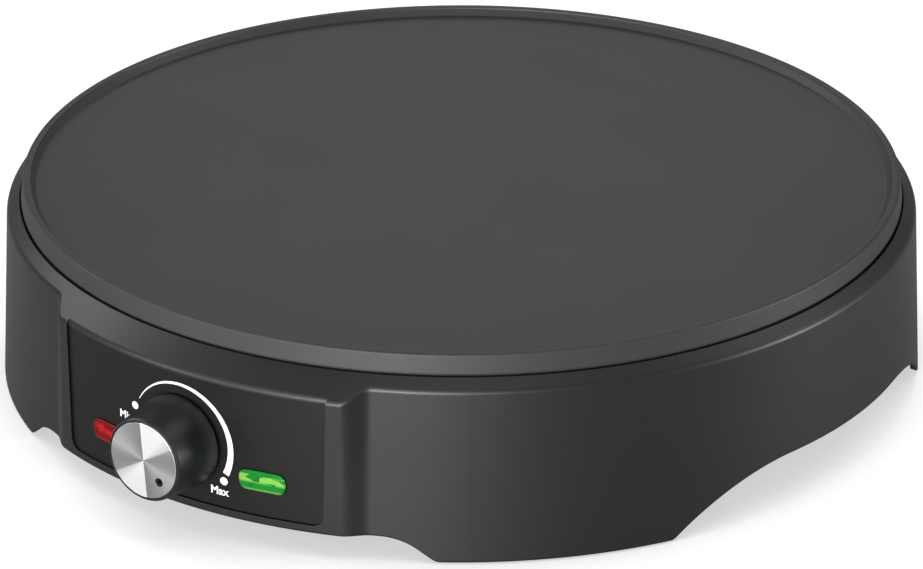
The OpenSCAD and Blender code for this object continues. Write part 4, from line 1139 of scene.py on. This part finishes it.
@dataclass
class Housing(Assembly):
    """The moulded housing: its sloping band, wall, legs, arches and panel block."""

    lip: Pair = (150.35, 63.7)  # radius, height
    lip_edge: float = 0.35
    lip_depth: float = 3.0
    lip_under: float = 59.0
    shoulder: float = 154.9
    slope: float = 38.4
    draft: float = 2.5
    thickness: float = 2.6
    foot: float = 0.4
    foot_edge: float = 0.8
    foot_run: float = 10.0  # how far the arches' outlines go on along the foot
    edge: float = 2.8
    wall_rings: Pair = (44.0, 26.0)  # heights of the rings between shoulder and foot
    block_face: float = 160.0
    block_hollow: float = 154.7
    block_half: float = 20.4
    block_flank: float = 3.8
    front_arch: float = 8.6
    front_radius: float = 17.0
    front_steps: int = 8
    ramp: float = 40.0
    leg_in: float = 31.6
    leg_out: float = 60.6
    leg_edge: float = 5.0
    leg_edge_before: Pair = (1.0, 2.0)  # how much of it lies before a leg's first and second edge
    side_arch: float = 18.2
    side_radius: float = 67.0
    side_steps: int = 24
    side_flat: float = 24.0
    side_start: float = 0.72  # sine of the angle past which the side arch counts
    foot_corner: float = 3.0
    hollow_top: float = 53.0
    ribs: tuple[Pair, ...] = ((21.5, 23.0), (50.5, 52.0))  # lower and upper heights
    rib_depth: float = 2.2
    sole_height: float = 2.0  # what lies lower follows the arches
    skin: float = 0.9  # what lies less far behind the outer face moves with it
    inner_skin: float = 0.3  # the same for the inner face
    band_start: float = 2.2  # how far outside the lip the band starts to move
    band_drop: float = 1.4  # how far under the shoulder it stops
    fascia_low: float = 11.7
    fascia_high: float = 55.04
    fascia_half: float = 52.0
    fascia_taper: float = 1.1
    fascia_corner: float = 3.5
    fascia_face: float = 159.3
    fascia_back: float = 157.3
    fascia_gap: float = 0.2
    seat_edge: float = 0.22
    seat_near: Triple = (1.0, 0.4, 0.3)  # reach beside, behind and above the seat
    cutter_run: Pair = (120.0, 60.0)  # start in front of the axis, depth
    cutter_top: float = 68.0
    cutter_overlap: float = 1.0
    core_height: float = 200.0
    core_steps: int = 360
    band_clear: float = 0.02
    spindle_hole: float = 6.9
    inlet_hole: float = 6.5
    hole_run: Pair = (145.0, 170.0)
    floor: Pair = (2.2, 4.7)
    floor_rings: Pair = (135.4, 155.2)
    floor_sweep: float = 18.0
    web_spread: float = 8.2
    web_wall: float = 2.0
    web_heights: Pair = (2.7, 19.0)  # foot, top
    web_outer: Pair = (155.4, 154.6)  # radius at the foot and at the top
    pad_radius: float = 10.5
    pad_run: Pair = (153.4, 156.9)  # inner and outer end
    pad_chamfer: float = 0.3
    merge: Pair = (0.01, 0.04)  # before and after the edges are eased

    def __post_init__(self) -> None:
        """Work out the shoulder's height and the arches' outlines."""
        self.fall = math.tan(math.radians(self.slope))
        self.shoulder_z = self.lip[1] - (self.shoulder - self.lip[0]) * self.fall
        self.front_outline = self._front_outline()
        self.side_outline = self._side_outline()

    def wall(self, z: float) -> float:
        """Return the wall's outer radius at a height."""
        return self.shoulder + (self.shoulder_z - z) * math.tan(math.radians(self.draft))

    def _front_outline(self) -> list[Pair]:
        """Draw the front arch's edge, to the right of its middle.

        Returns:
            Points as (distance from the middle, height).
        """
        end = self.wall(0) * math.sin(math.radians(self.leg_in))
        turn = math.radians(self.ramp)
        radius, top = self.front_radius, self.front_arch
        run = radius * math.sin(turn)
        low = top - radius * (1 - math.cos(turn))
        flat = end - (low - self.foot) / math.tan(turn) - run
        turns = [turn * i / self.front_steps for i in range(self.front_steps + 1)]
        bend = [(flat + radius * math.sin(t), top - radius * (1 - math.cos(t))) for t in turns]
        beyond = (end + self.foot_run, self.foot)
        return bend + round_corner((flat + run, low), (end, self.foot), beyond, self.foot_corner)

    def _side_outline(self) -> list[Pair]:
        """Draw a side arch's edge, from its middle forwards.

        Returns:
            Points as (distance from the middle, height).
        """
        end = self.wall(0) * math.cos(math.radians(self.leg_out))
        top = self.side_arch - self.foot
        radius = self.side_radius
        run = math.sqrt(2 * radius * top - top * top)
        middle = self.side_arch - radius
        flat = end - run
        steps = [(end - flat) * i / self.side_steps for i in range(self.side_steps + 1)]
        curve = [(flat + step, middle + math.sqrt(radius ** 2 - step ** 2)) for step in steps]
        beyond = (end + self.foot_run, self.foot)
        return curve[:-1] + round_corner(curve[-2], curve[-1], beyond, self.foot_corner / 2)

    def stretches(self) -> list[tuple[float, int]]:
        """Divide half a turn from the front, finely over the legs' edges.

        Returns:
            Each stretch's angle and its number of steps.
        """
        before_in, before_out = self.leg_edge_before
        first = self.leg_in - before_in
        second = self.leg_out - before_out
        leg_edge = (self.leg_edge, 14)
        leg = [leg_edge, (second - first - self.leg_edge, 12), leg_edge]
        side_curve = (90 - self.side_flat / 2 - second - self.leg_edge, 20)
        block = self.block_half + self.block_flank
        return [(self.block_half, 12), (self.block_flank, 12), (first - block, 11), *leg,
                side_curve, (self.side_flat, 12), side_curve, *leg, (first, 16)]

    def section(self) -> list[Pair]:
        """Draw the wall's closed section, from the foot inside, round the lip, to the foot outside.

        Returns:
            Points as (distance from the axis, height).
        """
        def inner(z: float) -> float:
            """Give the inner radius at a height."""
            return self.wall(z) - self.thickness

        corners: list[Corner] = [(inner(self.foot), self.foot, 0)]
        for low, high in self.ribs:
            rib = inner(low) - self.rib_depth
            corners += [(inner(low), low, 0), (rib, low, 0), (rib, high, 0), (inner(high), high, 0)]
        corners += [(inner(self.shoulder_z), self.lip_under, 0),
                    (self.lip[0], self.lip[1] - self.lip_depth, 0), (*self.lip, self.lip_edge),
                    (self.shoulder, self.shoulder_z, self.edge),
                    *((self.wall(z), z, 0) for z in self.wall_rings),
                    (self.wall(self.foot), self.foot, self.foot_edge)]
        return rounded(corners, 5)

    def bulge(self, angle: float) -> float:
        """Return how far the wall is out at an angle, from nought to one on the block's face."""
        past = (self.block_half + self.block_flank - abs(angle)) / self.block_flank
        return (1 - math.cos(math.pi * min(max(past, 0), 1))) / 2

    def arch(self, point: Vector, angle: float) -> float:
        """Read the height of the lower edge at a place on the foot.

        Args:
            point: The place.
            angle: Its angle from the front.

        Returns:
            The height.
        """
        if abs(math.sin(math.radians(angle))) < self.side_start:
            return height_at(self.front_outline, abs(point.x))
        return height_at(self.side_outline, abs(point.y))

    def move(self, point: Vector) -> Pair:
        """Bring a plain wall's vertex to the real shape.

        Args:
            point: The vertex.

        Returns:
            Its scale from the axis and its lift.
        """
        radius = math.hypot(point.x, point.y)
        angle = math.degrees(math.atan2(point.x, -point.y))
        out = self.bulge(angle)
        lift = self.arch(point, angle) - self.foot if point.z < self.sole_height else 0.0
        wall = self.wall(point.z)
        reach = radius + self.wall(point.z + lift) - wall
        band_low = self.shoulder_z - self.band_drop
        if radius > wall - self.skin and point.z < band_low:
            reach += out * (self.block_face - self.wall(point.z + lift))
        elif radius > self.lip[0] + self.band_start and point.z > band_low:
            shift = out * (self.block_face - self.shoulder)
            reach += shift
            lift -= shift * self.fall
        elif abs(radius - wall + self.thickness) < self.inner_skin and point.z < self.hollow_top:
            reach += out * (self.block_hollow - reach)
        return reach / radius, lift

    def shell(self) -> bpy.types.Object:
        """Spin the wall in stretches, and bring out its block and arches.

        Returns:
            The wall.
        """
        from_front = Axis(outwards=FRONT)
        piece = Bench.chain("housing_moulding", [from_front.place(p) for p in self.section()], closed=True)
        stretches = self.stretches()
        for sweep, steps in stretches + stretches[::-1]:
            bpy.ops.mesh.spin(steps=steps, angle=math.radians(sweep), center=ORIGIN, axis=UP)
        Bench.settle(piece)
        Bench.shape(piece, self.move)
        return Bench.settle(piece)

    def outline(self, gap: float = 0) -> list[Pair]:
        """Draw the fascia's outline, straight across the panel.

        Args:
            gap: How much wider and lower it is.

        Returns:
            Points as (distance to the right, height).
        """
        half, low = self.fascia_half + gap, self.fascia_low - gap
        foot, corner = half - self.fascia_taper, self.fascia_corner + gap
        return rounded([(-foot, low, corner), (foot, low, corner), (half, self.fascia_high, 0),
                        (-half, self.fascia_high, 0)], 8)

    def cutter(self, name: str, outline: Sequence[Pair]) -> bpy.types.Object:
        """Extrude an outline forwards, right through the panel.

        Args:
            name: The new piece's name.
            outline: Points as (distance to the right, height).

        Returns:
            The cutter.
        """
        start, depth = self.cutter_run
        return Bench.block(name, [Vector((x, -start, z)) for x, z in outline], FRONT * depth)

    def core(self, radius: float) -> bpy.types.Object:
        """Add a fine upright cylinder to cut with.

        Args:
            radius: Its radius.

        Returns:
            The cylinder.
        """
        Bench.choose()
        bpy.ops.mesh.primitive_cylinder_add(vertices=self.core_steps, radius=radius * MM,
                                            depth=self.core_height * MM)
        return bpy.context.object

    def stepped_core(self) -> bpy.types.Object:
        """Turn a core as far out as the fascia's face, with the band and its shoulder on top.

        Returns:
            The core.
        """
        top = self.lip[1] + self.band_clear
        low = top - (self.fascia_face - self.lip[0]) * self.fall
        profile = rounded([(0, self.hollow_top, 0), (self.fascia_face, self.hollow_top, 0),
                           (self.fascia_face, low, self.edge), (self.lip[0], top, 0), (0, top, 0)])
        return Bench.lathe("core", profile, PLATE_AXIS, self.core_steps)

    def cut_panel(self, shell: bpy.types.Object) -> None:
        """Sink the fascia's seat and set the edge above it back.

        Args:
            shell: The wall.
        """
        seat = self.cutter("seat", self.outline(self.fascia_gap))
        Bench.combine(seat, self.core(self.fascia_back))
        Bench.combine(shell, seat)
        half, low = self.fascia_half + self.fascia_gap, self.fascia_high - self.cutter_overlap
        above = self.cutter("above", [(-half, low), (half, low), (half, self.cutter_top),
                                      (-half, self.cutter_top)])
        Bench.combine(above, self.stepped_core())
        Bench.combine(shell, above)

    def cut_holes(self, shell: bpy.types.Object) -> None:
        """Cut the holes of the spindle, the lenses and the cord's gland.

        Args:
            shell: The wall.
        """
        near, far = self.hole_run
        Bench.drill(shell, self.spindle_hole, KNOB_HEIGHT, (-far, -near))
        Bench.drill(shell, self.inlet_hole, INLET_HEIGHT, (near, far))
        LENS.open_holes(shell)

    def leg_inside(self, angle: float) -> list[bpy.types.Object]:
        """Make a leg's floor and the two webs on it.

        Args:
            angle: The leg's angle from +X towards +Y.

        Returns:
            The floor and the webs.
        """
        (low, high), (inner, outer) = self.floor, self.floor_rings
        section = [(inner, low), (outer, low), (outer, high), (inner, high)]
        start = angle - self.floor_sweep / 2
        made = [Bench.sector("leg_floor", section, start, self.floor_sweep, steps=9)]
        foot, top = self.web_heights
        wide, narrow = self.web_outer
        for side in (-self.web_spread, self.web_spread):
            out = around(angle + side)
            across = Vector((-out.y, out.x, 0)) * self.web_wall
            corners = [out * r + UP * z - across / 2
                       for r, z in ((inner, foot), (wide, foot), (narrow, top), (inner, top))]
            made.append(Bench.block("leg_web", corners, across))
        return made

    def inlet_pad(self) -> bpy.types.Object:
        """Turn the pad round the cord's inlet.

        Returns:
            The pad.
        """
        bore, rim, bevel = self.inlet_hole, self.pad_radius, self.pad_chamfer
        start, end = self.pad_run
        profile = [(bore, start), (rim, start), (rim, end - bevel), (rim - bevel, end), (bore + bevel, end),
                   (bore, end - bevel)]
        return Bench.lathe("inlet_pad", profile, INLET_AXIS, steps=64, closed=True)

    def inside(self) -> list[bpy.types.Object]:
        """Make what stands on the wall's inner side.

        Returns:
            The leg floors, their webs and the inlet's pad.
        """
        middle = (self.leg_in + self.leg_out) / 2
        legs = [piece for angle in (-90 - middle, -90 + middle, 90 - middle, 90 + middle)
                for piece in self.leg_inside(angle)]
        return [*legs, self.inlet_pad()]

    def near_panel(self, middle: Vector) -> bool:
        """Tell whether an edge with this middle borders the fascia's seat."""
        beside, behind, above = self.seat_near
        return (middle.y < 0 and abs(middle.x) < self.fascia_half + beside
                and math.hypot(middle.x, middle.y) > self.fascia_face - behind
                and middle.z < self.fascia_high + above)

    def build(self) -> None:
        """Make the housing and tie it to the frame."""
        shell = self.shell()
        self.cut_panel(shell)
        self.cut_holes(shell)
        fine, coarse = self.merge
        Bench.settle(shell, fine)
        Bench.ease(shell, self.seat_edge, self.near_panel)
        Bench.settle(shell, coarse)
        housing = Bench.join("housing_moulding", [shell, *self.inside()])
        names = [n for n in self.nodes if n.startswith(("housing_", "leg_"))]
        self.hand_over(Bench.finish(housing, angle=34), HOUSING, "housing_plastic", names)


@dataclass
class Fascia(Assembly):
    """The black plate on the panel block, with its printed dial."""

    housing: Housing
    spindle_hole: float = 5.6
    hole_run: Pair = (-173.0, -143.0)
    front_edge: float = 0.3
    merge: float = 0.01
    arc_radius: float = 19.4
    arc_clocks: Pair = (-61.0, 115.5)
    arc_widths: Pair = (0.25, 2.3)
    arc_steps: int = 60
    dot_ring: float = 20.0
    dot_radius: float = 1.4
    dot_clocks: tuple[tuple[str, float], ...] = (("min", 288.3), ("max", 123.3))
    # Each word with its middle to the right and the height of its base line.
    words: tuple[tuple[str, float, float], ...] = (("Min", -23.3, 32.1), ("Max", 14.95, 15.9))
    word_height: float = 2.75
    word_out: float = 170.0
    capital: float = 0.7
    bold: float = 0.033
    ink_lift: float = 0.04

    def plate(self) -> bpy.types.Object:
        """Cut the fascia from a curved band.

        Returns:
            The fascia.
        """
        house = self.housing
        piece = Bench.name(house.core(house.fascia_face), "fascia_plate")
        Bench.combine(piece, house.cutter("blank", house.outline()), Cut.ONLY)
        Bench.combine(piece, house.core(house.fascia_back))
        Bench.drill(piece, self.spindle_hole, KNOB_HEIGHT, self.hole_run)
        LENS.open_holes(piece)
        Bench.settle(piece, self.merge)
        face = house.fascia_face - self.front_edge
        Bench.ease(piece, self.front_edge, lambda middle: math.hypot(middle.x, middle.y) > face)
        return Bench.finish(piece, angle=40)

    def on_face(self, x: float, z: float) -> Vector:
        """Return a point of the print, laid on the fascia's curved face."""
        radius = self.housing.fascia_face + self.ink_lift
        return Vector((x, -math.sqrt(radius * radius - x * x), z))

    def at_clock(self, clock: float, radius: float) -> Pair:
        """Return the place at a clock angle round the knob, to the right and up."""
        turn = math.radians(clock)
        return radius * math.sin(turn), KNOB_HEIGHT + radius * math.cos(turn)

    def arc(self) -> bpy.types.Object:
        """Draw the widening arc.

        Returns:
            The arc.
        """
        first, last = self.arc_clocks
        thin, wide = self.arc_widths
        sides = []
        for side in (-1, 1):
            points = []
            for i in range(self.arc_steps + 1):
                share = i / self.arc_steps
                radius = self.arc_radius + side * (thin + (wide - thin) * share) / 2
                points.append(self.on_face(*self.at_clock(first + (last - first) * share, radius)))
            sides.append(Bench.chain("arc_edge", points))
            Bench.close()
        arc = Bench.join("dial_arc", sides)
        Bench.edit(arc, "EDGE", "SELECT")
        bpy.ops.mesh.bridge_edge_loops()
        Bench.close()
        return arc

    def dot(self, name: str, clock: float) -> bpy.types.Object:
        """Draw one end dot.

        Args:
            name: The piece's name.
            clock: Its clock angle round the knob.

        Returns:
            The dot.
        """
        x, z = self.at_clock(clock, self.dot_ring)
        rim = [around(angle, self.dot_radius) for angle in range(0, 360, 12)]
        piece = Bench.chain(name, [self.on_face(x + p.x, z + p.y) for p in rim], closed=True)
        bpy.ops.mesh.edge_face_add()
        Bench.close()
        return piece

    def word(self, text: str, x: float, z: float) -> bpy.types.Object:
        """Set a short word in front of the fascia.

        Args:
            text: The word.
            x: Its middle to the right.
            z: The height of its base line.

        Returns:
            The word as a mesh.
        """
        Bench.choose()
        bpy.ops.object.text_add()
        letters = bpy.context.object.data
        letters.body = text
        letters.size = self.word_height * MM / self.capital
        letters.bevel_depth = self.word_height * MM * self.bold
        letters.bevel_resolution = 0
        letters.align_x = "CENTER"
        bpy.ops.object.convert(target="MESH")
        piece = Bench.name(bpy.context.object, "dial_word_" + text.lower())
        mesh = Bench.edit(piece, "FACE")
        for face in mesh.faces:
            face.select_set(face.normal.z < 0.1)
        bpy.ops.mesh.delete(type="FACE")
        bpy.ops.mesh.select_all(action="SELECT")
        bpy.ops.mesh.remove_doubles(threshold=0.002 * MM)
        bpy.ops.mesh.subdivide(number_cuts=1)
        Bench.close()
        piece.rotation_euler.x = math.pi / 2
        piece.location = (x * MM, -self.word_out * MM, z * MM)
        return Bench.set_down(piece)

    def lay(self, piece: bpy.types.Object, onto: bpy.types.Object) -> None:
        """Press a flat print onto the fascia's face.

        Args:
            piece: The print.
            onto: The fascia.
        """
        Bench.apply(piece, "SHRINKWRAP", target=onto, wrap_method="PROJECT", use_project_y=True,
                    use_positive_direction=True, use_negative_direction=False,
                    wrap_mode="ABOVE_SURFACE", offset=self.ink_lift * MM)

    def build(self) -> None:
        """Make the fascia with its print and tie both to the frame."""
        plate = self.plate()
        words = [self.word(*word) for word in self.words]
        for word in words:
            self.lay(word, plate)
        self.hand_over(plate, FASCIA, "panel_plastic", ["fascia"])
        for piece in (self.arc(), *words):
            self.hand_over(piece, INK, "panel_plastic")
        for end, clock in self.dot_clocks:
            self.hand_over(self.dot("dial_dot_" + end, clock), INK, "panel_plastic")


@dataclass
class PilotLamps(Assembly):
    """The two pilot lenses in the fascia."""

    front_edge: float = 0.7
    front_band: float = 0.2
    flange_back: float = 0.8
    flange_wider: float = 1.4
    flange_depth: float = 1.9

    def lens(self, name: str, side: int) -> bpy.types.Object:
        """Make one lens with an eased front and the flange behind it.

        Args:
            name: The piece's name.
            side: -1 for the left lens, 1 for the right one.

        Returns:
            The lens.
        """
        out = LENS.out(side)
        front = Bench.block(name, LENS.outline(side, LENS.back, 0), out * (LENS.front - LENS.back))
        band = LENS.front - self.front_band
        Bench.ease(front, self.front_edge, lambda middle: middle.dot(out) > band, segments=4)
        outline = LENS.outline(side, LENS.back - self.flange_back, self.flange_wider)
        flange = Bench.block("flange", outline, out * self.flange_depth)
        return Bench.finish(Bench.join(name, [front, flange]), angle=35)

    def build(self) -> None:
        """Make both lenses and tie them to the frame."""
        self.hand_over(self.lens("power_lens_red", -1), RED_LENS, "red_lens", ["power_lens"])
        self.hand_over(self.lens("ready_lens_green", 1), GREEN_LENS, "green_lens", ["ready_lens"])


@dataclass
class Knob(Assembly):
    """The thermostat's knob with its spun metal cap."""

    back: float = 159.9
    front: float = 178.7
    foot_radius: float = 15.9
    waist: Triple = (0.35, 6.0, 4.0)  # in, up, radius of the bend
    front_radius: float = 14.3
    front_chamfer: Pair = (0.55, 0.75)  # in, down
    cap_radius: float = 13.1
    cap_gap: float = 0.35
    cap_depth: float = 0.7
    cap_thickness: float = 0.8
    hub: float = 5.6
    hub_in: float = 1.0
    bore: float = 3.05
    bore_depth: float = 14.0
    wall: float = 2.0
    web: float = 3.0
    ball_share: float = 1.6
    ball_sunk: float = 0.9

    def grip(self) -> bpy.types.Object:
        """Turn the hollow knob.

        Returns:
            The knob.
        """
        back, front, web = self.back, self.front, self.front - self.web
        waist_in, waist_up, waist_bend = self.waist
        chamfer_in, chamfer_down = self.front_chamfer
        recess, seat = self.cap_radius + self.cap_gap, front - self.cap_depth
        profile = rounded([
            (self.hub, back + self.hub_in, 0.3), (self.hub, web, 0),
            (self.front_radius - self.wall, web, 0.8), (self.foot_radius - self.wall, back, 0.3),
            (self.foot_radius, back, 0.4), (self.foot_radius - waist_in, back + waist_up, waist_bend),
            (self.front_radius, front - chamfer_down, 0.4), (self.front_radius - chamfer_in, front, 0.2),
            (recess, front, 0.1), (recess, seat, 0), (0, seat, 0)], 5)
        end = back + self.bore_depth
        bore = [(0, end), (self.bore, end), (self.bore, back + self.hub_in)]
        return Bench.finish(Bench.lathe("knob_grip", bore + profile, KNOB_AXIS, steps=128))

    def cap(self) -> bpy.types.Object:
        """Turn the cap's disc and press its dimple.

        Returns:
            The cap.
        """
        low = self.front - self.cap_depth
        high = low + self.cap_thickness
        profile = rounded([(0, low, 0), (self.cap_radius, low, 0.1), (self.cap_radius, high, 0.25),
                           (0, high, 0)], 4)
        disc = Bench.lathe("knob_cap_disc", profile, KNOB_AXIS, steps=128)
        ball = DIMPLE.radius * self.ball_share
        depth = ball - math.sqrt(ball * ball - DIMPLE.radius * DIMPLE.radius)
        across, above = DIMPLE.offset
        out = high + ball - depth * self.ball_sunk
        Bench.choose()
        bpy.ops.mesh.primitive_uv_sphere_add(
            segments=48, ring_count=32, radius=ball * MM,
            location=(across * MM, -out * MM, (KNOB_HEIGHT + above) * MM))
        Bench.combine(disc, bpy.context.object)
        return Bench.finish(disc)

    def build(self) -> None:
        """Make the knob and its cap and tie them to the frame."""
        self.hand_over(self.grip(), KNOB, "knob_plastic", ["knob"], "knob")
        self.hand_over(self.cap(), CAP, "cap_aluminium", ["knob_cap"], "knob")


@dataclass
class CordInlet(Assembly):
    """The rubber gland at the back, where the cord goes in."""

    bore: float = 3.6
    neck: float = 6.4
    collar: float = 8.0
    flange: Pair = (9.0, 7.8)  # radius at its inner and outer face
    # Where its collar starts and ends, and where its flange starts and ends.
    span: tuple[float, float, float, float] = (150.03, 152.23, 156.88, 159.28)

    def build(self) -> None:
        """Turn the gland and tie it to the frame."""
        inner, collar, face, end = self.span
        wide, narrow = self.flange
        profile = rounded([
            (self.bore, inner, 0.5), (self.collar, inner, 0.4), (self.collar, collar, 0.3),
            (self.neck, collar, 0), (self.neck, face, 0), (wide, face, 0.3), (narrow, end, 0.7),
            (self.bore, end, 0.6)], 4)
        gland = Bench.lathe("cord_gland_rubber", profile, INLET_AXIS, steps=64, closed=True)
        self.hand_over(Bench.finish(gland), RUBBER, "rubber", ["cord_gland"])


@dataclass
class Feet(Assembly):
    """The four rubber feet."""

    leg_middle: float = 46.1
    ring: float = 144.9
    radius: float = 6.5
    height: float = 2.2
    hollow: Triple = (3.2, 3.8, 0.35)  # inner and outer radius, depth
    stem: float = 2.5
    floor: float = 2.5
    floor_gap: float = 0.1
    barb: Triple = (3.3, 2.2, 2.1)  # radius at its foot and tip, height

    def build(self) -> None:
        """Turn one foot, copy it to the other legs, and tie all four to the frame."""
        top = self.height + self.floor
        low, end = top + self.floor_gap, top + self.barb[2]
        profile = rounded([
            (0, self.hollow[2], 0), (self.hollow[0], self.hollow[2], 0.2), (self.hollow[1], 0, 0.2),
            (self.radius, 0, 0.7), (self.radius, self.height, 0.4), (self.stem, self.height, 0),
            (self.stem, low, 0), (self.barb[0], low, 0.15), (self.barb[1], end, 0.4), (0, end, 0)], 4)
        axis = Axis(around(self.leg_middle - 90, self.ring))
        first = Bench.finish(Bench.lathe("rubber_foot_front_right", profile, axis, steps=48))
        sweep = 180 - 2 * self.leg_middle
        turns = {"rear_right": sweep, "rear_left": 180, "front_left": 180 + sweep}
        copies = [Bench.turned_copy(first, "rubber_foot_" + leg, turn) for leg, turn in turns.items()]
        for foot in (first, *copies):
            self.hand_over(foot, RUBBER, "rubber", ["rubber_feet"])


@dataclass
class Insides(Assembly):
    """The frame's own nodes that stay as they are: the wiring, thermostat, base and fixings."""

    slots: dict[str, str]

    def build(self) -> None:
        """Give each node its finish."""
        for name, node in self.nodes.items():
            self.store.dress(node, INNER.get(self.slots.get(name, ""), HOLDER))
        log.info("%d nodes of the frame dressed", len(self.nodes))


# The studio ----------------------------------------------------------------


@dataclass(frozen=True)
class SoftBox:
    """A soft lamp: its turn from the camera's direction, its rise, its size and its power."""

    name: str
    turn: float
    rise: float
    size: Pair
    watts: float


@dataclass
class Studio:
    """The floor, the lamps, the surroundings and the camera, in metres."""

    lens: float = 219.0
    sensor: float = 36.0
    far_clip: float = 50.0
    azimuth: float = 34.7
    elevation: float = 24.62
    distance: float = 1.932
    aim: float = 0.0266
    lamp_distance: float = 2.0
    lamp_aim: float = 0.03
    world_level: float = 0.24
    gloss_share: float = 0.08
    floor_size: float = 12.0
    floor_level: float = 0.5
    floor_glow: float = 1.6
    glow_share: float = 0.6
    shadow_reach: float = 0.045
    shadow_fade: Pair = (0.3, 0.85)
    shadow_level: float = 0.6
    boxes: tuple[SoftBox, ...] = (
        SoftBox("low_front", -20, 4, (0.9, 0.26), 19),
        SoftBox("low_middle", -10, 4, (0.4, 0.2), 18),
        SoftBox("low_left", -34, 4, (0.4, 0.2), 9),
        SoftBox("low_right", 83, 3, (0.4, 0.2), 17),
        SoftBox("cap_box", -69, 3, (0.4, 0.2), 9),
        SoftBox("left_box", -122, 38, (0.6, 0.6), 8.5),
        SoftBox("edge_left", -68, 30, (2.2, 0.12), 5),
        SoftBox("edge_front", -21, 30, (1.0, 0.15), 4),
        SoftBox("edge_right", 92, 28, (0.7, 0.15), 3),
        SoftBox("right_box", 108, 48, (0.7, 0.7), 4),
        SoftBox("top_box", 0, 70, (1.0, 1.0), 4.5),
        SoftBox("back_box", 180, 32, (0.8, 0.8), 2.5))

    def towards(self, turn: float, rise: float, distance: float) -> Vector:
        """Place a point round the object.

        Args:
            turn: Its angle from the front, to the right.
            rise: Its angle above the floor.
            distance: How far it is from the aim.

        Returns:
            The point.
        """
        level = around(turn - 90, distance * math.cos(math.radians(rise)))
        return level + UP * (self.aim + distance * math.sin(math.radians(rise)))

    def point_at(self, eye: bpy.types.Object, name: str, height: float) -> None:
        """Name a camera or lamp and turn it to a point on the object's axis.

        Args:
            eye: The camera or lamp.
            name: Its name.
            height: The height of the point.
        """
        eye.name = name
        eye.rotation_euler = (UP * height - eye.location).to_track_quat("-Z", "Y").to_euler()

    def camera(self) -> None:
        """Set up the camera."""
        bpy.ops.object.camera_add(location=self.towards(self.azimuth, self.elevation, self.distance))
        camera = bpy.context.object
        self.point_at(camera, "camera", self.aim)
        camera.data.lens = self.lens
        camera.data.sensor_width = self.sensor
        camera.data.clip_end = self.far_clip
        bpy.context.scene.camera = camera

    def lamps(self) -> None:
        """Set up the soft boxes, each turned to the object."""
        for box in self.boxes:
            place = self.towards(self.azimuth + box.turn, box.rise, self.lamp_distance)
            bpy.ops.object.light_add(type="AREA", location=place)
            lamp = bpy.context.object
            self.point_at(lamp, box.name, self.lamp_aim)
            lamp.data.shape = "RECTANGLE"
            lamp.data.size, lamp.data.size_y = box.size
            lamp.data.energy = box.watts

    def seen(self, look: Look) -> Value:
        """Tell the rays that see the white background.

        Args:
            look: The nodes that ask.

        Returns:
            One for a ray from the camera or through glass, and a part of one for a gloss.
        """
        path = look.node("ShaderNodeLightPath")
        straight, gloss, through = (Value(look, path.outputs[f"Is {kind} Ray"])
                                    for kind in ("Camera", "Glossy", "Transmission"))
        return (straight + gloss * self.gloss_share + through).fade(0, 1)

    def surroundings(self) -> None:
        """Make the world white where it is seen and plain grey where it lights."""
        world = bpy.data.worlds.new("surroundings")
        look = Look(world)
        colour = look.blend(self.seen(look), grey(self.world_level), grey(1.0))
        back = look.node("ShaderNodeBackground", None, {"Color": colour, "Strength": 1.0})
        look.node("ShaderNodeOutputWorld", None, {"Surface": back.outputs[0]})
        bpy.context.scene.world = world

    def floor(self) -> None:
        """Lay the white floor, which keeps the object's shadow, with a painted contact shadow in its glow
        near the object.
        """
        Bench.choose()
        bpy.ops.mesh.primitive_plane_add(size=self.floor_size)
        floor = Bench.name(bpy.context.object, "studio_floor")
        look = Look(bpy.data.materials.new("studio_floor"))
        matt = look.node("ShaderNodeBsdfDiffuse", None, {"Color": (*grey(self.floor_level), 1)})
        # Ambient occlusion darkens the glow near the object: a painted contact shadow, added to the real
        # shadow in the matt part.
        near = look.node("ShaderNodeAmbientOcclusion", {"samples": 8}, {"Distance": self.shadow_reach})
        open_part = Value(look, near.outputs["AO"]).fade(*self.shadow_fade)
        glow = look.blend(open_part, grey(self.shadow_level), grey(1.0))
        white = look.node("ShaderNodeEmission", None, {"Color": glow, "Strength": self.floor_glow})
        mixed = look.node("ShaderNodeMixShader", None, {
            0: self.seen(look) * self.glow_share, 1: matt.outputs[0], 2: white.outputs[0]})
        look.node("ShaderNodeOutputMaterial", None, {"Surface": mixed.outputs[0]})
        floor.data.materials.append(look.owner)

    def build(self) -> None:
        """Set the whole studio up."""
        self.surroundings()
        self.floor()
        self.lamps()
        self.camera()
        bpy.context.scene.view_settings.view_transform = "Standard"


def main() -> None:
    """Build the cooker and its studio."""
    logging.basicConfig(level=logging.INFO, format="%(name)s %(message)s")
    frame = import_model()
    nodes: dict[str, bpy.types.Object] = frame["nodes"]
    slots = {part["node"]: part.get("material_slot", "") for part in frame["record"]["subparts"]}
    store = Store()
    housing = Housing(store, nodes)
    parts = [Studio(), Insides(store, nodes, slots), Hotplate(store, nodes), housing,
             Fascia(store, nodes, housing), PilotLamps(store, nodes), Knob(store, nodes),
             CordInlet(store, nodes), Feet(store, nodes)]
    for part in parts:
        part.build()


if __name__ == "__main__":
    main()
